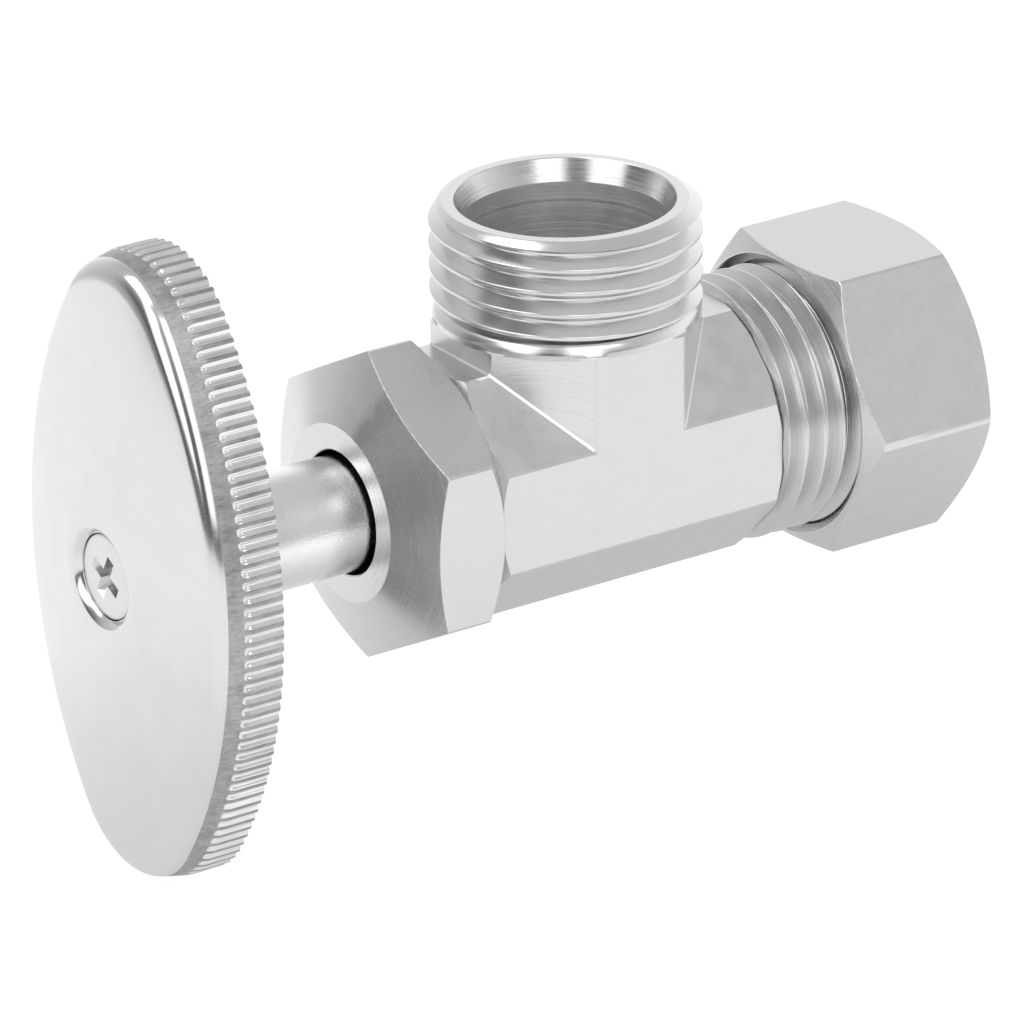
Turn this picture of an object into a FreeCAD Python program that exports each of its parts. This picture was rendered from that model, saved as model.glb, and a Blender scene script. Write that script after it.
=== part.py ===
import FreeCAD, Part
import math
import os
import re
import Sketcher

# Angle-pattern isolating valve, in millimetres.
# Every place along the main axis is measured from the outlet's axis, and a last Placement moves
# each piece so that the row frame's origin is the pipe stop in the inlet socket.
# +X runs out of the inlet along the pipe, +Z runs out of the outlet, and the handle is at -X.

NODES_FOLDER = "parts"

# How far a cutting shape runs past the face that it opens, as part of a formula
PAST = "1"

# Driving dimensions: alias, size, what it is
SIZES = (
    ("stop_place", 12.6, "outlet axis to the pipe stop in the inlet socket"),
    ("run_gap", 0.05, "radial running clearance of turning and sliding pieces"),
    ("seat_gap", 0.05, "gap left between faces that close on each other"),
    ("loose_gap", 0.3, "clearance round pieces that only pass through"),
    ("body_flats", 19.7, "across the flats of the octagonal run"),
    ("body_left", 12.6, "outlet axis to the octagon's end at the bonnet"),
    ("body_right", 12.9, "outlet axis to the octagon's end at the inlet thread"),
    ("land_radius", 9.5, "turned land that the bonnet's shoulder closes on"),
    ("land_length", 0.7, "length of that land"),
    ("neck_top", 11.6, "height of the neck's flats above the main axis"),
    ("collar_foot", 10.3, "radius of the coned collar on top of the neck"),
    ("collar_head", 9.95, "radius of that collar under the outlet thread"),
    ("collar_top", 12.8, "top of that collar"),
    ("thread_radius", 10.478, "major radius of the half-inch pipe thread"),
    ("outlet_top", 20.86, "height of the outlet's sealing rim"),
    ("lead_length", 0.76, "length of the lead chamfer on both threads"),
    ("lead_depth", 0.9, "radial depth of that chamfer"),
    ("outlet_bore", 7.88, "radius of the outlet bore"),
    ("mouth_radius", 8.55, "radius of the outlet's mouth at the rim"),
    ("mouth_depth", 1.75, "length of the mouth's taper"),
    ("outlet_floor", 8.6, "height of the outlet bore's floor"),
    ("passage_radius", 5.5, "radius of the passage from the chamber to the outlet"),
    ("chamber_radius", 7.2, "radius of the chamber round the valve disc"),
    ("chamber_end", 8.8, "outlet axis to the chamber's seat wall"),
    ("seat_height", 0.8, "how far the seat's crown stands out of that wall"),
    ("seat_outer", 5.3, "outer radius of that crown"),
    ("seat_bore", 4.4, "radius of the waterway through the seat"),
    ("socket_radius", 8.1, "radius of the pipe socket"),
    ("socket_end", 22.0, "outlet axis to the foot of the ferrule's cone"),
    ("inlet_end", 24.2, "outlet axis to the end of the inlet thread"),
    ("cone_radius", 9.5, "radius of the ferrule's cone at its mouth"),
    ("bonnet_thread", 8.0, "major radius of the bonnet's thread in the body"),
    ("bonnet_seat", 8.4, "outlet axis to the shoulder that the gasket lies on"),
    ("gasket_length", 1.0, "thickness of the bonnet's gasket"),
    ("bonnet_flats", 22.2, "across the flats of the bonnet's hexagon"),
    ("bonnet_corner", 12.75, "radius that the bonnet's corners are turned to"),
    ("bonnet_turn", 2.2, "degrees that the bonnet's hexagon is turned"),
    ("bonnet_front", 21.0, "outlet axis to the bonnet's ring face"),
    ("ring_radius", 7.0, "radius of the ring face"),
    ("cone_length", 2.5, "length of the cone from the ring face to the corners"),
    ("heel_length", 1.3, "length of the chamfer behind the bonnet's corners"),
    ("heel_radius", 11.0, "radius of the bonnet's back face"),
    ("nose_radius", 6.0, "radius of the bonnet's nose in the chamber"),
    ("nose_end", 0.8, "outlet axis to the end of that nose"),
    ("well_radius", 4.97, "radius of the bonnet's well round the handle's hub"),
    ("well_floor", 15.2, "outlet axis to the floor of that well"),
    ("nut_place", 8.9, "outlet axis to the start of the stem's thread in the bonnet"),
    ("stem_thread", 4.75, "major radius of the stem's thread"),
    ("stem_pitch", 1.8, "pitch of the stem's thread"),
    ("stem_thread_length", 6.5, "length of the stem's thread"),
    ("stem_radius", 3.6, "radius of the stem in the bonnet"),
    ("stem_neck", 3.2, "radius of the stem in the handle's hub"),
    ("lift_turns", 2.5, "turns of the handle from open to closed"),
    ("slip_length", 0.8, "thickness of the slip washer on the stem's shoulder"),
    ("ring_section", 0.75, "radius of the section of an O-ring"),
    ("ring_first", 14.0, "outlet axis to the outer O-ring"),
    ("ring_step", 2.6, "distance between the two O-rings"),
    ("groove_side", 0.2, "side clearance of an O-ring in its groove"),
    ("square_flats", 5.0, "across the flats of the stem's square end"),
    ("square_start", 29.0, "outlet axis to the start of the square"),
    ("square_end", 38.3, "outlet axis to the end of the square"),
    ("disc_radius", 6.0, "radius of the jumper's disc and the seat washer"),
    ("disc_length", 1.4, "thickness of the jumper's disc"),
    ("washer_length", 2.4, "thickness of the seat washer"),
    ("pin_radius", 2.1, "radius of the jumper's pin"),
    ("pin_length", 5.0, "length of the jumper's pin"),
    ("washer_screw_radius", 1.25, "radius of the washer screw"),
    ("washer_screw_length", 5.0, "length of the washer screw under its head"),
    ("washer_head_radius", 2.8, "radius of the washer screw's head"),
    ("washer_head_length", 1.3, "thickness of that head"),
    ("slot_width", 0.8, "width of the slot in that head"),
    ("handle_long", 25.15, "half length of the oval handle"),
    ("handle_short", 13.85, "half width of the oval handle"),
    ("handle_end_radius", 8.45, "radius of the oval's rounded ends"),
    ("handle_rear", 34.87, "outlet axis to the back of the handle's rim"),
    ("ridge_length", 3.05, "length of the ridges between the flutes, at full height"),
    ("flute_length", 3.45, "length of the flutes, which end behind the flare"),
    ("flute_count", 120, "number of flutes round the rim"),
    ("flute_depth", 0.36, "depth of a flute below the rim's outline"),
    ("flute_share", 0.66, "part of a flute's pitch that its hollow takes at the crest"),
    ("floor_share", 0.26, "part of a flute's pitch that its floor takes"),
    ("runout_length", 0.5, "length of the bevel that the ridges end in"),
    ("runout_depth", 0.2, "depth of that bevel"),
    ("flare_length", 1.4, "length of the plain flare in front of that bevel"),
    ("bead_radius", 0.45, "radius of the rolled edge round the face"),
    ("bead_inset", 0.4, "how far that edge stays inside the rim's outline"),
    ("dome_height", 2.2, "rise of the domed face above its edge"),
    ("dome_sides", 60, "sides of the many-sided ovals that the dome is made of"),
    ("rim_wall", 2.2, "thickness of the rim"),
    ("face_wall", 2.0, "thickness of the face at its edge"),
    ("hub_radius", 4.4, "radius of the handle's hub"),
    ("hub_end", 20.0, "outlet axis to the end of the hub, valve open"),
    ("hub_wall", 1.6, "thickness between the square socket and the screw's recess"),
    ("sink_radius", 3.95, "radius of the countersink round the handle screw"),
    ("sink_depth", 0.5, "depth of that countersink"),
    ("head_radius", 3.3, "radius of the handle screw's head"),
    ("head_length", 1.7, "thickness of the handle screw's head"),
    ("head_crown", 0.15, "rounded part of that head"),
    ("screw_radius", 1.75, "radius of the handle screw"),
    ("screw_length", 9.0, "length of the handle screw under its head"),
    ("cross_width", 0.95, "width of an arm of the cross recess"),
    ("cross_span", 4.3, "span of the cross recess"),
    ("cross_depth", 1.1, "depth of the cross recess"),
    ("cross_turn", 27, "degrees that the cross recess is turned"),
    ("nut_flats", 23.0, "across the flats of the compression nut"),
    ("nut_corner", 13.2, "radius that the nut's corners are turned to"),
    ("nut_turn", 2.1, "degrees that the nut is turned"),
    ("nut_front", 19.7, "outlet axis to the nut's open end"),
    ("nut_back", 31.9, "outlet axis to the nut's closed end"),
    ("nut_bevel", 1.1, "length of the chamfers on the nut's corners"),
    ("nut_bevel_radius", 11.35, "radius of the nut's end faces"),
    ("nut_mouth_depth", 0.75, "length of the lead-in to the nut's thread"),
    ("nut_wall", 3.1, "thickness of the nut's closed end"),
    ("pipe_hole", 8.3, "radius of the nut's hole for the pipe"),
    ("ferrule_bore", 8.0, "inner radius of the ferrule"),
    ("ferrule_radius", 9.3, "outer radius of the ferrule"),
    ("ferrule_nose", 8.4, "radius of the ferrule's two noses"),
    ("ferrule_taper", 1.6, "length of a taper on the ferrule"),
    ("ferrule_place", 23.6, "outlet axis to the ferrule's front nose"),
)

ALIASES = {alias for alias, _, _ in SIZES}

doc = FreeCAD.newDocument("isolating_valve")
sheet = doc.addObject("Spreadsheet::Sheet", "Sizes")
for row, (alias, size, note) in enumerate(SIZES, start=1):
    sheet.set("A%d" % row, alias)
    sheet.set("B%d" % row, str(size))
    sheet.set("C%d" % row, note)
    sheet.setAlias("B%d" % row, alias)
doc.recompute()


def bound(formula):
    """The formula with each size's name pointing at its cell."""
    return re.sub(r"[a-z_]+", lambda word: "Sizes." * (word.group(0) in ALIASES) + word.group(0), formula)


def number(formula):
    """The formula's value now."""
    return float(sheet.evalExpression(bound(formula)))


def bind(thing, **formulas):
    """Ties properties of an object to the sheet."""
    for name, formula in formulas.items():
        thing.setExpression(name, bound(formula))


def origin_plane(body, role):
    """One of a body's own origin planes."""
    return next(item for item in body.Origin.OriginFeatures if item.Role == role)


def outline(body, name, corners):
    """A closed sketch through corners given as (along X, out from the axis), as formulas."""
    sketch = body.newObject("Sketcher::SketchObject", name)
    sketch.AttachmentSupport = [(origin_plane(body, "XZ_Plane"), "")]
    sketch.MapMode = "FlatFace"
    places = [FreeCAD.Vector(number(along), number(out), 0) for along, out in corners]
    for start, end in zip(places, places[1:] + places[:1]):
        sketch.addGeometry(Part.LineSegment(start, end), False)
    for index, (along, out) in enumerate(corners):
        following = (index + 1) % len(corners)
        place = places[index]
        sketch.addConstraint(Sketcher.Constraint("Coincident", index, 2, following, 1))
        for kind, formula, value in (("DistanceX", along, place.x), ("DistanceY", out, place.y)):
            row = sketch.addConstraint(Sketcher.Constraint(kind, -1, 1, index, 1, value))
            sketch.setExpression("Constraints[%d]" % row, bound(formula))
    return sketch


def turned(name, corners):
    """A body turned about the X axis from one outline."""
    body = doc.addObject("PartDesign::Body", name)
    sketch = outline(body, name + "_outline", corners)
    turn = body.newObject("PartDesign::Revolution", name + "_turn")
    turn.Profile = sketch
    turn.ReferenceAxis = (sketch, ["H_Axis"])
    turn.Angle = 360
    return body


def prism(name, sides, flats, start, end, about_x, turn_degrees=0.0):
    """A prism with flats facing the axes when turn_degrees is zero, along X or along Z."""
    bar = doc.addObject("Part::Prism", name)
    bar.Polygon = sides
    bar.setExpression("Circumradius", bound("%s / 2 / cos(%s deg)" % (flats, 180.0 / sides)))
    bind(bar, Height="%s - (%s)" % (end, start))
    half_side = FreeCAD.Rotation(FreeCAD.Vector(0, 0, 1), 180.0 / sides + turn_degrees)
    tip_over = FreeCAD.Rotation(FreeCAD.Vector(0, 1, 0), 90 if about_x else 0)
    bar.Placement = FreeCAD.Placement(FreeCAD.Vector(), tip_over.multiply(half_side))
    bar.setExpression("Placement.Base.x" if about_x else "Placement.Base.z", bound(start))
    return bar


def cylinder(name, radius, start, end):
    """An upright cylinder on the outlet's axis."""
    rod = doc.addObject("Part::Cylinder", name)
    bind(rod, Radius=radius, Height="%s - (%s)" % (end, start))
    rod.setExpression("Placement.Base.z", bound(start))
    return rod


def cone(name, low_radius, high_radius, start, end):
    """An upright cone on the outlet's axis."""
    taper = doc.addObject("Part::Cone", name)
    bind(taper, Radius1=low_radius, Radius2=high_radius, Height="%s - (%s)" % (end, start))
    taper.setExpression("Placement.Base.z", bound(start))
    return taper


def fused(name, pieces):
    """Several solids as one."""
    whole = doc.addObject("Part::MultiFuse", name)
    whole.Shapes = pieces
    whole.Refine = True
    return whole


def cut(name, base, tool):
    """The base without the tool."""
    rest = doc.addObject("Part::Cut", name)
    rest.Base = base
    rest.Tool = tool
    rest.Refine = True
    return rest


def common(name, base, tool):
    """What two solids share."""
    shared = doc.addObject("Part::Common", name)
    shared.Base = base
    shared.Tool = tool
    shared.Refine = True
    return shared


# Valve body: a forged octagonal run and neck, turned threads, and the bores inside
def valve_body():
    run = prism("run", 8, "body_flats", "-body_left", "body_right", True)
    neck = prism("neck", 8, "body_flats", "0", "neck_top", False)
    turned_ends = turned("turned_ends", (
        ("-body_left - land_length", "0"),
        ("-body_left - land_length", "land_radius"),
        ("-body_left + land_length", "land_radius"),
        ("-body_left + land_length", "chamber_radius"),
        ("body_right - land_length", "chamber_radius"),
        ("body_right - land_length", "thread_radius"),
        ("inlet_end - lead_length", "thread_radius"),
        ("inlet_end", "thread_radius - lead_depth"),
        ("inlet_end", "0"),
    ))
    collar = cone("collar", "collar_foot", "collar_head", "neck_top", "collar_top")
    spigot = cylinder("spigot", "thread_radius", "collar_top", "outlet_top - lead_length")
    lead = cone("lead", "thread_radius", "thread_radius - lead_depth", "outlet_top - lead_length", "outlet_top")
    blank = fused("body_blank", [run, neck, turned_ends, collar, spigot, lead])
    main_bore = turned("main_bore", (
        ("-body_left - land_length - " + PAST, "0"),
        ("-body_left - land_length - " + PAST, "bonnet_thread + run_gap"),
        ("-bonnet_seat", "bonnet_thread + run_gap"),
        ("-bonnet_seat", "chamber_radius"),
        ("chamber_end", "chamber_radius"),
        ("chamber_end", "seat_outer"),
        ("chamber_end - seat_height", "seat_outer"),
        ("chamber_end - seat_height", "seat_bore"),
        ("stop_place", "seat_bore"),
        ("stop_place", "socket_radius"),
        ("socket_end", "socket_radius"),
        ("inlet_end", "cone_radius"),
        ("inlet_end + " + PAST, "cone_radius"),
        ("inlet_end + " + PAST, "0"),
    ))
    mouth = cone("mouth", "outlet_bore", "mouth_radius", "outlet_top - mouth_depth", "outlet_top")
    bore = cylinder("outlet_bore_tool", "outlet_bore", "outlet_floor", "outlet_top + " + PAST)
    passage = cylinder("passage", "passage_radius", "0", "outlet_floor + " + PAST)
    waterway = fused("waterway", [main_bore, mouth, bore, passage])
    return cut("valve_body", blank, waterway)


# Bonnet: a hexagon with a coned front, a threaded spigot and a nose that carries the stem's thread
def bonnet():
    bar = prism("bonnet_bar", 6, "bonnet_flats", "-bonnet_front", "-body_left - land_length", True,
                30 + number("bonnet_turn"))
    envelope = turned("bonnet_envelope", (
        ("-bonnet_front", "0"),
        ("-bonnet_front", "ring_radius"),
        ("-bonnet_front + cone_length", "bonnet_corner"),
        ("-body_left - land_length - heel_length", "bonnet_corner"),
        ("-body_left - land_length", "heel_radius"),
        ("-body_left - land_length", "0"),
    ))
    head = common("bonnet_head", bar, envelope)
    spigot = turned("bonnet_spigot", (
        ("-bonnet_front + cone_length", "0"),
        ("-bonnet_front + cone_length", "bonnet_thread"),
        ("-bonnet_seat - gasket_length", "bonnet_thread"),
        ("-bonnet_seat - gasket_length", "nose_radius"),
        ("-nose_end", "nose_radius"),
        ("-nose_end", "0"),
    ))
    bore = turned("bonnet_bore", (
        ("-bonnet_front - " + PAST, "0"),
        ("-bonnet_front - " + PAST, "well_radius"),
        ("-well_floor", "well_radius"),
        ("-well_floor", "stem_radius + run_gap"),
        ("-nut_place", "stem_radius + run_gap"),
        ("-nut_place", "stem_thread + run_gap"),
        ("-nose_end + " + PAST, "stem_thread + run_gap"),
        ("-nose_end + " + PAST, "0"),
    ))
    return cut("bonnet", fused("bonnet_blank", [head, spigot]), bore)


def bonnet_gasket():
    return turned("bonnet_gasket", (
        ("-bonnet_seat - gasket_length", "nose_radius + loose_gap"),
        ("-bonnet_seat - gasket_length", "bonnet_thread"),
        ("-bonnet_seat", "bonnet_thread"),
        ("-bonnet_seat", "nose_radius + loose_gap"),
    ))


# Places along the stem, valve open
SHOULDER = "(nut_place - seat_gap)"
THREAD_START = "(%s - slip_length)" % SHOULDER
LIFT = "(lift_turns * stem_pitch)"
DISC_PLACE = "(chamber_end - seat_height - seat_gap - %s - washer_length - disc_length)" % LIFT
STEM_TIP = "(%s - seat_gap)" % DISC_PLACE


# Stem: square end, neck, O-ring grooves, thread and the blind hole for the jumper's pin
def stem():
    half_groove = "(ring_section + groove_side)"
    groove_floor = "(stem_radius - 2 * ring_section)"
    corners = [
        ("-square_end", "0"),
        ("-square_end", "stem_neck"),
        ("-hub_end", "stem_neck"),
        ("-hub_end", "stem_radius"),
    ]
    for order in ("0", "1"):
        middle = "-ring_first + %s * ring_step" % order
        corners += [
            ("%s - %s" % (middle, half_groove), "stem_radius"),
            ("%s - %s" % (middle, half_groove), groove_floor),
            ("%s + %s" % (middle, half_groove), groove_floor),
            ("%s + %s" % (middle, half_groove), "stem_radius"),
        ]
    corners += [
        ("-" + THREAD_START, "stem_radius"),
        ("-" + THREAD_START, "stem_thread"),
        ("-%s + stem_thread_length" % THREAD_START, "stem_thread"),
        ("-%s + stem_thread_length" % THREAD_START, "stem_radius"),
        (STEM_TIP, "stem_radius"),
        (STEM_TIP, "pin_radius + run_gap"),
        ("%s - pin_length" % STEM_TIP, "pin_radius + run_gap"),
        ("%s - pin_length" % STEM_TIP, "0"),
    ]
    rod = turned("stem_rod", corners)
    sleeve = turned("square_sleeve", (
        ("-square_end - " + PAST, "0"),
        ("-square_end - " + PAST, "stem_radius"),
        ("-square_start", "stem_radius"),
        ("-square_start", "0"),
    ))
    square = prism("square", 4, "square_flats", "-square_end - 2 * " + PAST, "-square_start + " + PAST, True)
    tapped = turned("stem_tapping", (
        ("-square_end - " + PAST, "0"),
        ("-square_end - " + PAST, "screw_radius + run_gap"),
        ("-square_end + screw_length", "screw_radius + run_gap"),
        ("-square_end + screw_length", "0"),
    ))
    corners_off = cut("square_waste", sleeve, square)
    return cut("stem", rod, fused("stem_waste", [corners_off, tapped]))


def slip_washer():
    return turned("slip_washer", (
        ("-" + SHOULDER, "stem_radius + run_gap"),
        ("-" + SHOULDER, "stem_thread"),
        ("-" + THREAD_START, "stem_thread"),
        ("-" + THREAD_START, "stem_radius + run_gap"),
    ))


def stem_ring(name, order):
    """An O-ring, as a six-sided section turned about the axis."""
    middle = "(-ring_first + %d * ring_step)" % order
    half_side = "ring_section * tan(30 deg)"
    centre = "(stem_radius - ring_section)"
    return turned(name, (
        ("%s - %s" % (middle, half_side), "%s + ring_section" % centre),
        ("%s + %s" % (middle, half_side), "%s + ring_section" % centre),
        ("%s + 2 * %s" % (middle, half_side), centre),
        ("%s + %s" % (middle, half_side), "%s - ring_section" % centre),
        ("%s - %s" % (middle, half_side), "%s - ring_section" % centre),
        ("%s - 2 * %s" % (middle, half_side), centre),
    ))


# Valve disc: a jumper whose pin stands loose in the stem, a soft washer and its screw
def jumper():
    return turned("jumper", (
        ("%s - pin_length + loose_gap" % DISC_PLACE, "0"),
        ("%s - pin_length + loose_gap" % DISC_PLACE, "pin_radius"),
        (DISC_PLACE, "pin_radius"),
        (DISC_PLACE, "disc_radius"),
        ("%s + disc_length" % DISC_PLACE, "disc_radius"),
        ("%s + disc_length" % DISC_PLACE, "washer_screw_radius + run_gap"),
        ("%s + disc_length + washer_length - washer_screw_length - loose_gap" % DISC_PLACE,
         "washer_screw_radius + run_gap"),
        ("%s + disc_length + washer_length - washer_screw_length - loose_gap" % DISC_PLACE, "0"),
    ))


def seat_washer():
    return turned("seat_washer", (
        ("%s + disc_length" % DISC_PLACE, "washer_screw_radius + run_gap"),
        ("%s + disc_length" % DISC_PLACE, "disc_radius"),
        ("%s + disc_length + washer_length" % DISC_PLACE, "disc_radius"),
        ("%s + disc_length + washer_length" % DISC_PLACE, "washer_screw_radius + run_gap"),
    ))


def washer_screw():
    face = "(%s + disc_length + washer_length)" % DISC_PLACE
    blank = turned("washer_screw_blank", (
        ("%s - washer_screw_length" % face, "0"),
        ("%s - washer_screw_length" % face, "washer_screw_radius"),
        (face, "washer_screw_radius"),
        (face, "washer_head_radius"),
        ("%s + washer_head_length" % face, "washer_head_radius"),
        ("%s + washer_head_length" % face, "0"),
    ))
    slot = doc.addObject("Part::Box", "driver_slot")
    bind(slot, Length="washer_head_length", Width="slot_width", Height="4 * washer_head_radius")
    slot.setExpression("Placement.Base.x", bound("%s + washer_head_length / 2" % face))
    slot.setExpression("Placement.Base.y", bound("-slot_width / 2"))
    slot.setExpression("Placement.Base.z", bound("-2 * washer_head_radius"))
    return cut("washer_screw", blank, slot)


# Oval of the handle: four arcs that share their tangents, so every offset of it is an oval too
class Oval:
    """Long axis along Z, short axis along Y, in a plane square to X."""

    def __init__(self, half_long, half_short, end_radius):
        self.end_radius = end_radius
        self.end_place = half_long - end_radius
        self.side_radius = (self.end_place ** 2 + half_short ** 2 - end_radius ** 2) / (
            2 * (half_short - end_radius))
        self.side_place = self.side_radius - half_short
        self.side_angle = math.atan2(self.end_place, self.side_place)
        self.end_angle = math.pi / 2 - self.side_angle

    def arcs(self):
        """Centre, radius, first and last angle of each arc, angles from +Y towards +Z."""
        side = (self.side_radius, self.side_angle)
        end = (self.end_radius, self.end_angle)
        layout = (
            (-self.side_place, 0, 0.0, side),
            (0, self.end_place, math.pi / 2, end),
            (self.side_place, 0, math.pi, side),
            (0, -self.end_place, 3 * math.pi / 2, end),
        )
        return [(FreeCAD.Vector(0, y, z), radius, middle - half, middle + half)
                for y, z, middle, (radius, half) in layout]

    def length(self):
        """The whole way round."""
        return sum(radius * (last - first) for _, radius, first, last in self.arcs())

    def point(self, travelled, out, x):
        """The point so far round the oval from its first arc's start, moved out square to it."""
        left = travelled % self.length()
        for centre, radius, first, last in self.arcs():
            stretch = radius * (last - first)
            if left <= stretch:
                break
            left -= stretch
        angle = first + left / radius
        reach = radius + out
        return centre + FreeCAD.Vector(x, reach * math.cos(angle), reach * math.sin(angle))

    def wire(self, x):
        """The oval as a closed wire."""
        edges = []
        for centre, radius, first, last in self.arcs():
            ends = [centre + FreeCAD.Vector(x, radius * math.cos(angle), radius * math.sin(angle))
                    for angle in (first, (first + last) / 2, last)]
            edges.append(Part.Arc(*ends).toShape())
        return Part.Wire(edges)


def fluted_bar(oval, start, end):
    """A bar with the oval's outline and a hollow flute at each step round it."""
    count = round(number("flute_count"))
    pitch = oval.length() / count
    half_hollow = number("flute_share") * pitch / 2
    half_floor = number("floor_share") * pitch / 2
    depth = number("flute_depth")
    corners = []
    for order in range(count):
        middle = order * pitch
        corners.append(oval.point(middle - half_hollow, 0, start))
        corners.append(oval.point(middle - half_floor, -depth, start))
        corners.append(oval.point(middle + half_floor, -depth, start))
        corners.append(oval.point(middle + half_hollow, 0, start))
    section = Part.Face(Part.makePolygon(corners + corners[:1]))
    return section.extrude(FreeCAD.Vector(end - start, 0, 0))


# Places along the handle, valve open
EDGE_PLACE = "(handle_rear + ridge_length + runout_length + flare_length + bead_radius)"
FLOOR_PLACE = "(%s - face_wall)" % EDGE_PLACE
SOCKET_FLOOR = "(square_end + loose_gap)"
SCREW_SEAT = "(%s + hub_wall)" % SOCKET_FLOOR

# Corners of the rolled edge, in degrees from straight forward, and the sizes of the dome's ovals
# beside the face's own
BEAD_ANGLES = (90, 60, 30, 0)
DOME_SHARES = (1.0, 0.75, 0.5, 0.25)
CROWN_PLACE = "(%s + dome_height * (1 - %s))" % (EDGE_PLACE, DOME_SHARES[-1] ** 2)


def rim_sector(centre, radius, first, last):
    """The rim's section turned through one of the oval's arcs: back, flutes' envelope, flare, rolled edge."""
    rear = -number("handle_rear")
    bevel_start = rear - number("ridge_length")
    bevel_end = bevel_start - number("runout_length")
    bead = number("bead_radius")
    envelope = radius + number("flute_depth")
    inside = radius - number("rim_wall")
    middle = FreeCAD.Vector(-number(EDGE_PLACE) + bead, radius - number("bead_inset") - bead, 0)

    def on_bead(degrees):
        """A point of the rolled edge, degrees from straight forward."""
        turn = math.radians(degrees)
        return middle + FreeCAD.Vector(-bead * math.cos(turn), bead * math.sin(turn), 0)

    back_inner = FreeCAD.Vector(rear, inside, 0)
    back_outer = FreeCAD.Vector(rear, envelope, 0)
    land_front = FreeCAD.Vector(bevel_start, envelope, 0)
    bevel_top = FreeCAD.Vector(bevel_start, radius, 0)
    bevel_foot = FreeCAD.Vector(bevel_end, radius - number("runout_depth"), 0)
    front_inner = FreeCAD.Vector(-number(EDGE_PLACE), inside, 0)
    section = Part.Face(Part.makePolygon([
        back_inner, back_outer, land_front, bevel_top, bevel_foot,
        *[on_bead(degrees) for degrees in BEAD_ANGLES], front_inner, back_inner]))
    section.rotate(FreeCAD.Vector(), FreeCAD.Vector(1, 0, 0), math.degrees(first))
    section.translate(centre)
    return section.revolve(centre, FreeCAD.Vector(1, 0, 0), math.degrees(last - first))


def domed_face(oval):
    """The face's solid: a plate with the rolled edge's inner outline, domed by similar many-sided ovals."""
    edge = -number(EDGE_PLACE)
    plate = Part.Face(oval.wire(-number(FLOOR_PLACE)))
    plate = plate.extrude(FreeCAD.Vector(edge + number(FLOOR_PLACE), 0, 0))
    sides = round(number("dome_sides"))
    rings = []
    for share in DOME_SHARES:
        rise = number("dome_height") * (1 - share ** 2)
        around = [oval.point(oval.length() * order / sides, 0, 0) * share for order in range(sides)]
        rings.append([point + FreeCAD.Vector(edge - rise, 0, 0) for point in around])
    facets = [Part.Face(Part.makePolygon(ring + ring[:1])) for ring in (rings[0], rings[-1])]
    for low, high in zip(rings, rings[1:]):
        for order in range(sides):
            corners = [low[order - 1], low[order], high[order], high[order - 1], low[order - 1]]
            facets.append(Part.Face(Part.makePolygon(corners)))
    return plate.fuse(Part.Solid(Part.Shell(facets)))


def handle_casting():
    """Fluted oval rim and domed face in one casting, hollow behind the face."""
    outline_oval = Oval(number("handle_long"), number("handle_short"), number("handle_end_radius"))
    flutes_start = -number("handle_rear - " + PAST)
    flutes_end = -number("handle_rear + flute_length")
    plain_bar = Part.Face(outline_oval.wire(flutes_end)).extrude(FreeCAD.Vector(-number("handle_rear"), 0, 0))
    bar = fluted_bar(outline_oval, flutes_start, flutes_end).fuse(plain_bar)
    sectors = [rim_sector(*arc) for arc in outline_oval.arcs()]
    rim = sectors[0].multiFuse(sectors[1:]).common(bar)
    inset = number("bead_inset + bead_radius")
    face = domed_face(Oval(number("handle_long") - inset, number("handle_short") - inset,
                           number("handle_end_radius") - inset))
    casting = doc.addObject("Part::Feature", "handle_casting")
    casting.Shape = rim.fuse(face)
    return casting


def handle():
    hub = turned("hub", (
        ("-%s - face_wall / 2" % FLOOR_PLACE, "0"),
        ("-%s - face_wall / 2" % FLOOR_PLACE, "hub_radius"),
        ("-hub_end", "hub_radius"),
        ("-hub_end", "0"),
    ))
    neck_bore = turned("neck_bore", (
        ("-%s" % SOCKET_FLOOR, "0"),
        ("-%s" % SOCKET_FLOOR, "stem_neck + run_gap"),
        ("-hub_end + " + PAST, "stem_neck + run_gap"),
        ("-hub_end + " + PAST, "0"),
    ))
    keeper = turned("square_keeper", (
        ("-square_end - " + PAST, "0"),
        ("-square_end - " + PAST, "2 * stem_neck"),
        ("-square_start - loose_gap", "2 * stem_neck"),
        ("-square_start - loose_gap", "0"),
    ))
    square = prism("socket_square", 4, "(square_flats + 2 * run_gap)", "-square_end - 2 * " + PAST,
                   "-hub_end + 2 * " + PAST, True)
    socket = cut("socket", neck_bore, cut("square_land", keeper, square))
    screw_way = turned("screw_way", (
        ("-%s - %s" % (CROWN_PLACE, PAST), "0"),
        ("-%s - %s" % (CROWN_PLACE, PAST), "sink_radius"),
        ("-" + CROWN_PLACE, "sink_radius"),
        ("-%s + sink_depth" % CROWN_PLACE, "head_radius + run_gap"),
        ("-%s" % SCREW_SEAT, "head_radius + run_gap"),
        ("-%s" % SCREW_SEAT, "screw_radius + loose_gap"),
        ("-square_end", "screw_radius + loose_gap"),
        ("-square_end", "0"),
    ))
    blank = fused("handle_blank", [handle_casting(), hub])
    return cut("handle", blank, fused("handle_ways", [socket, screw_way]))


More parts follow.
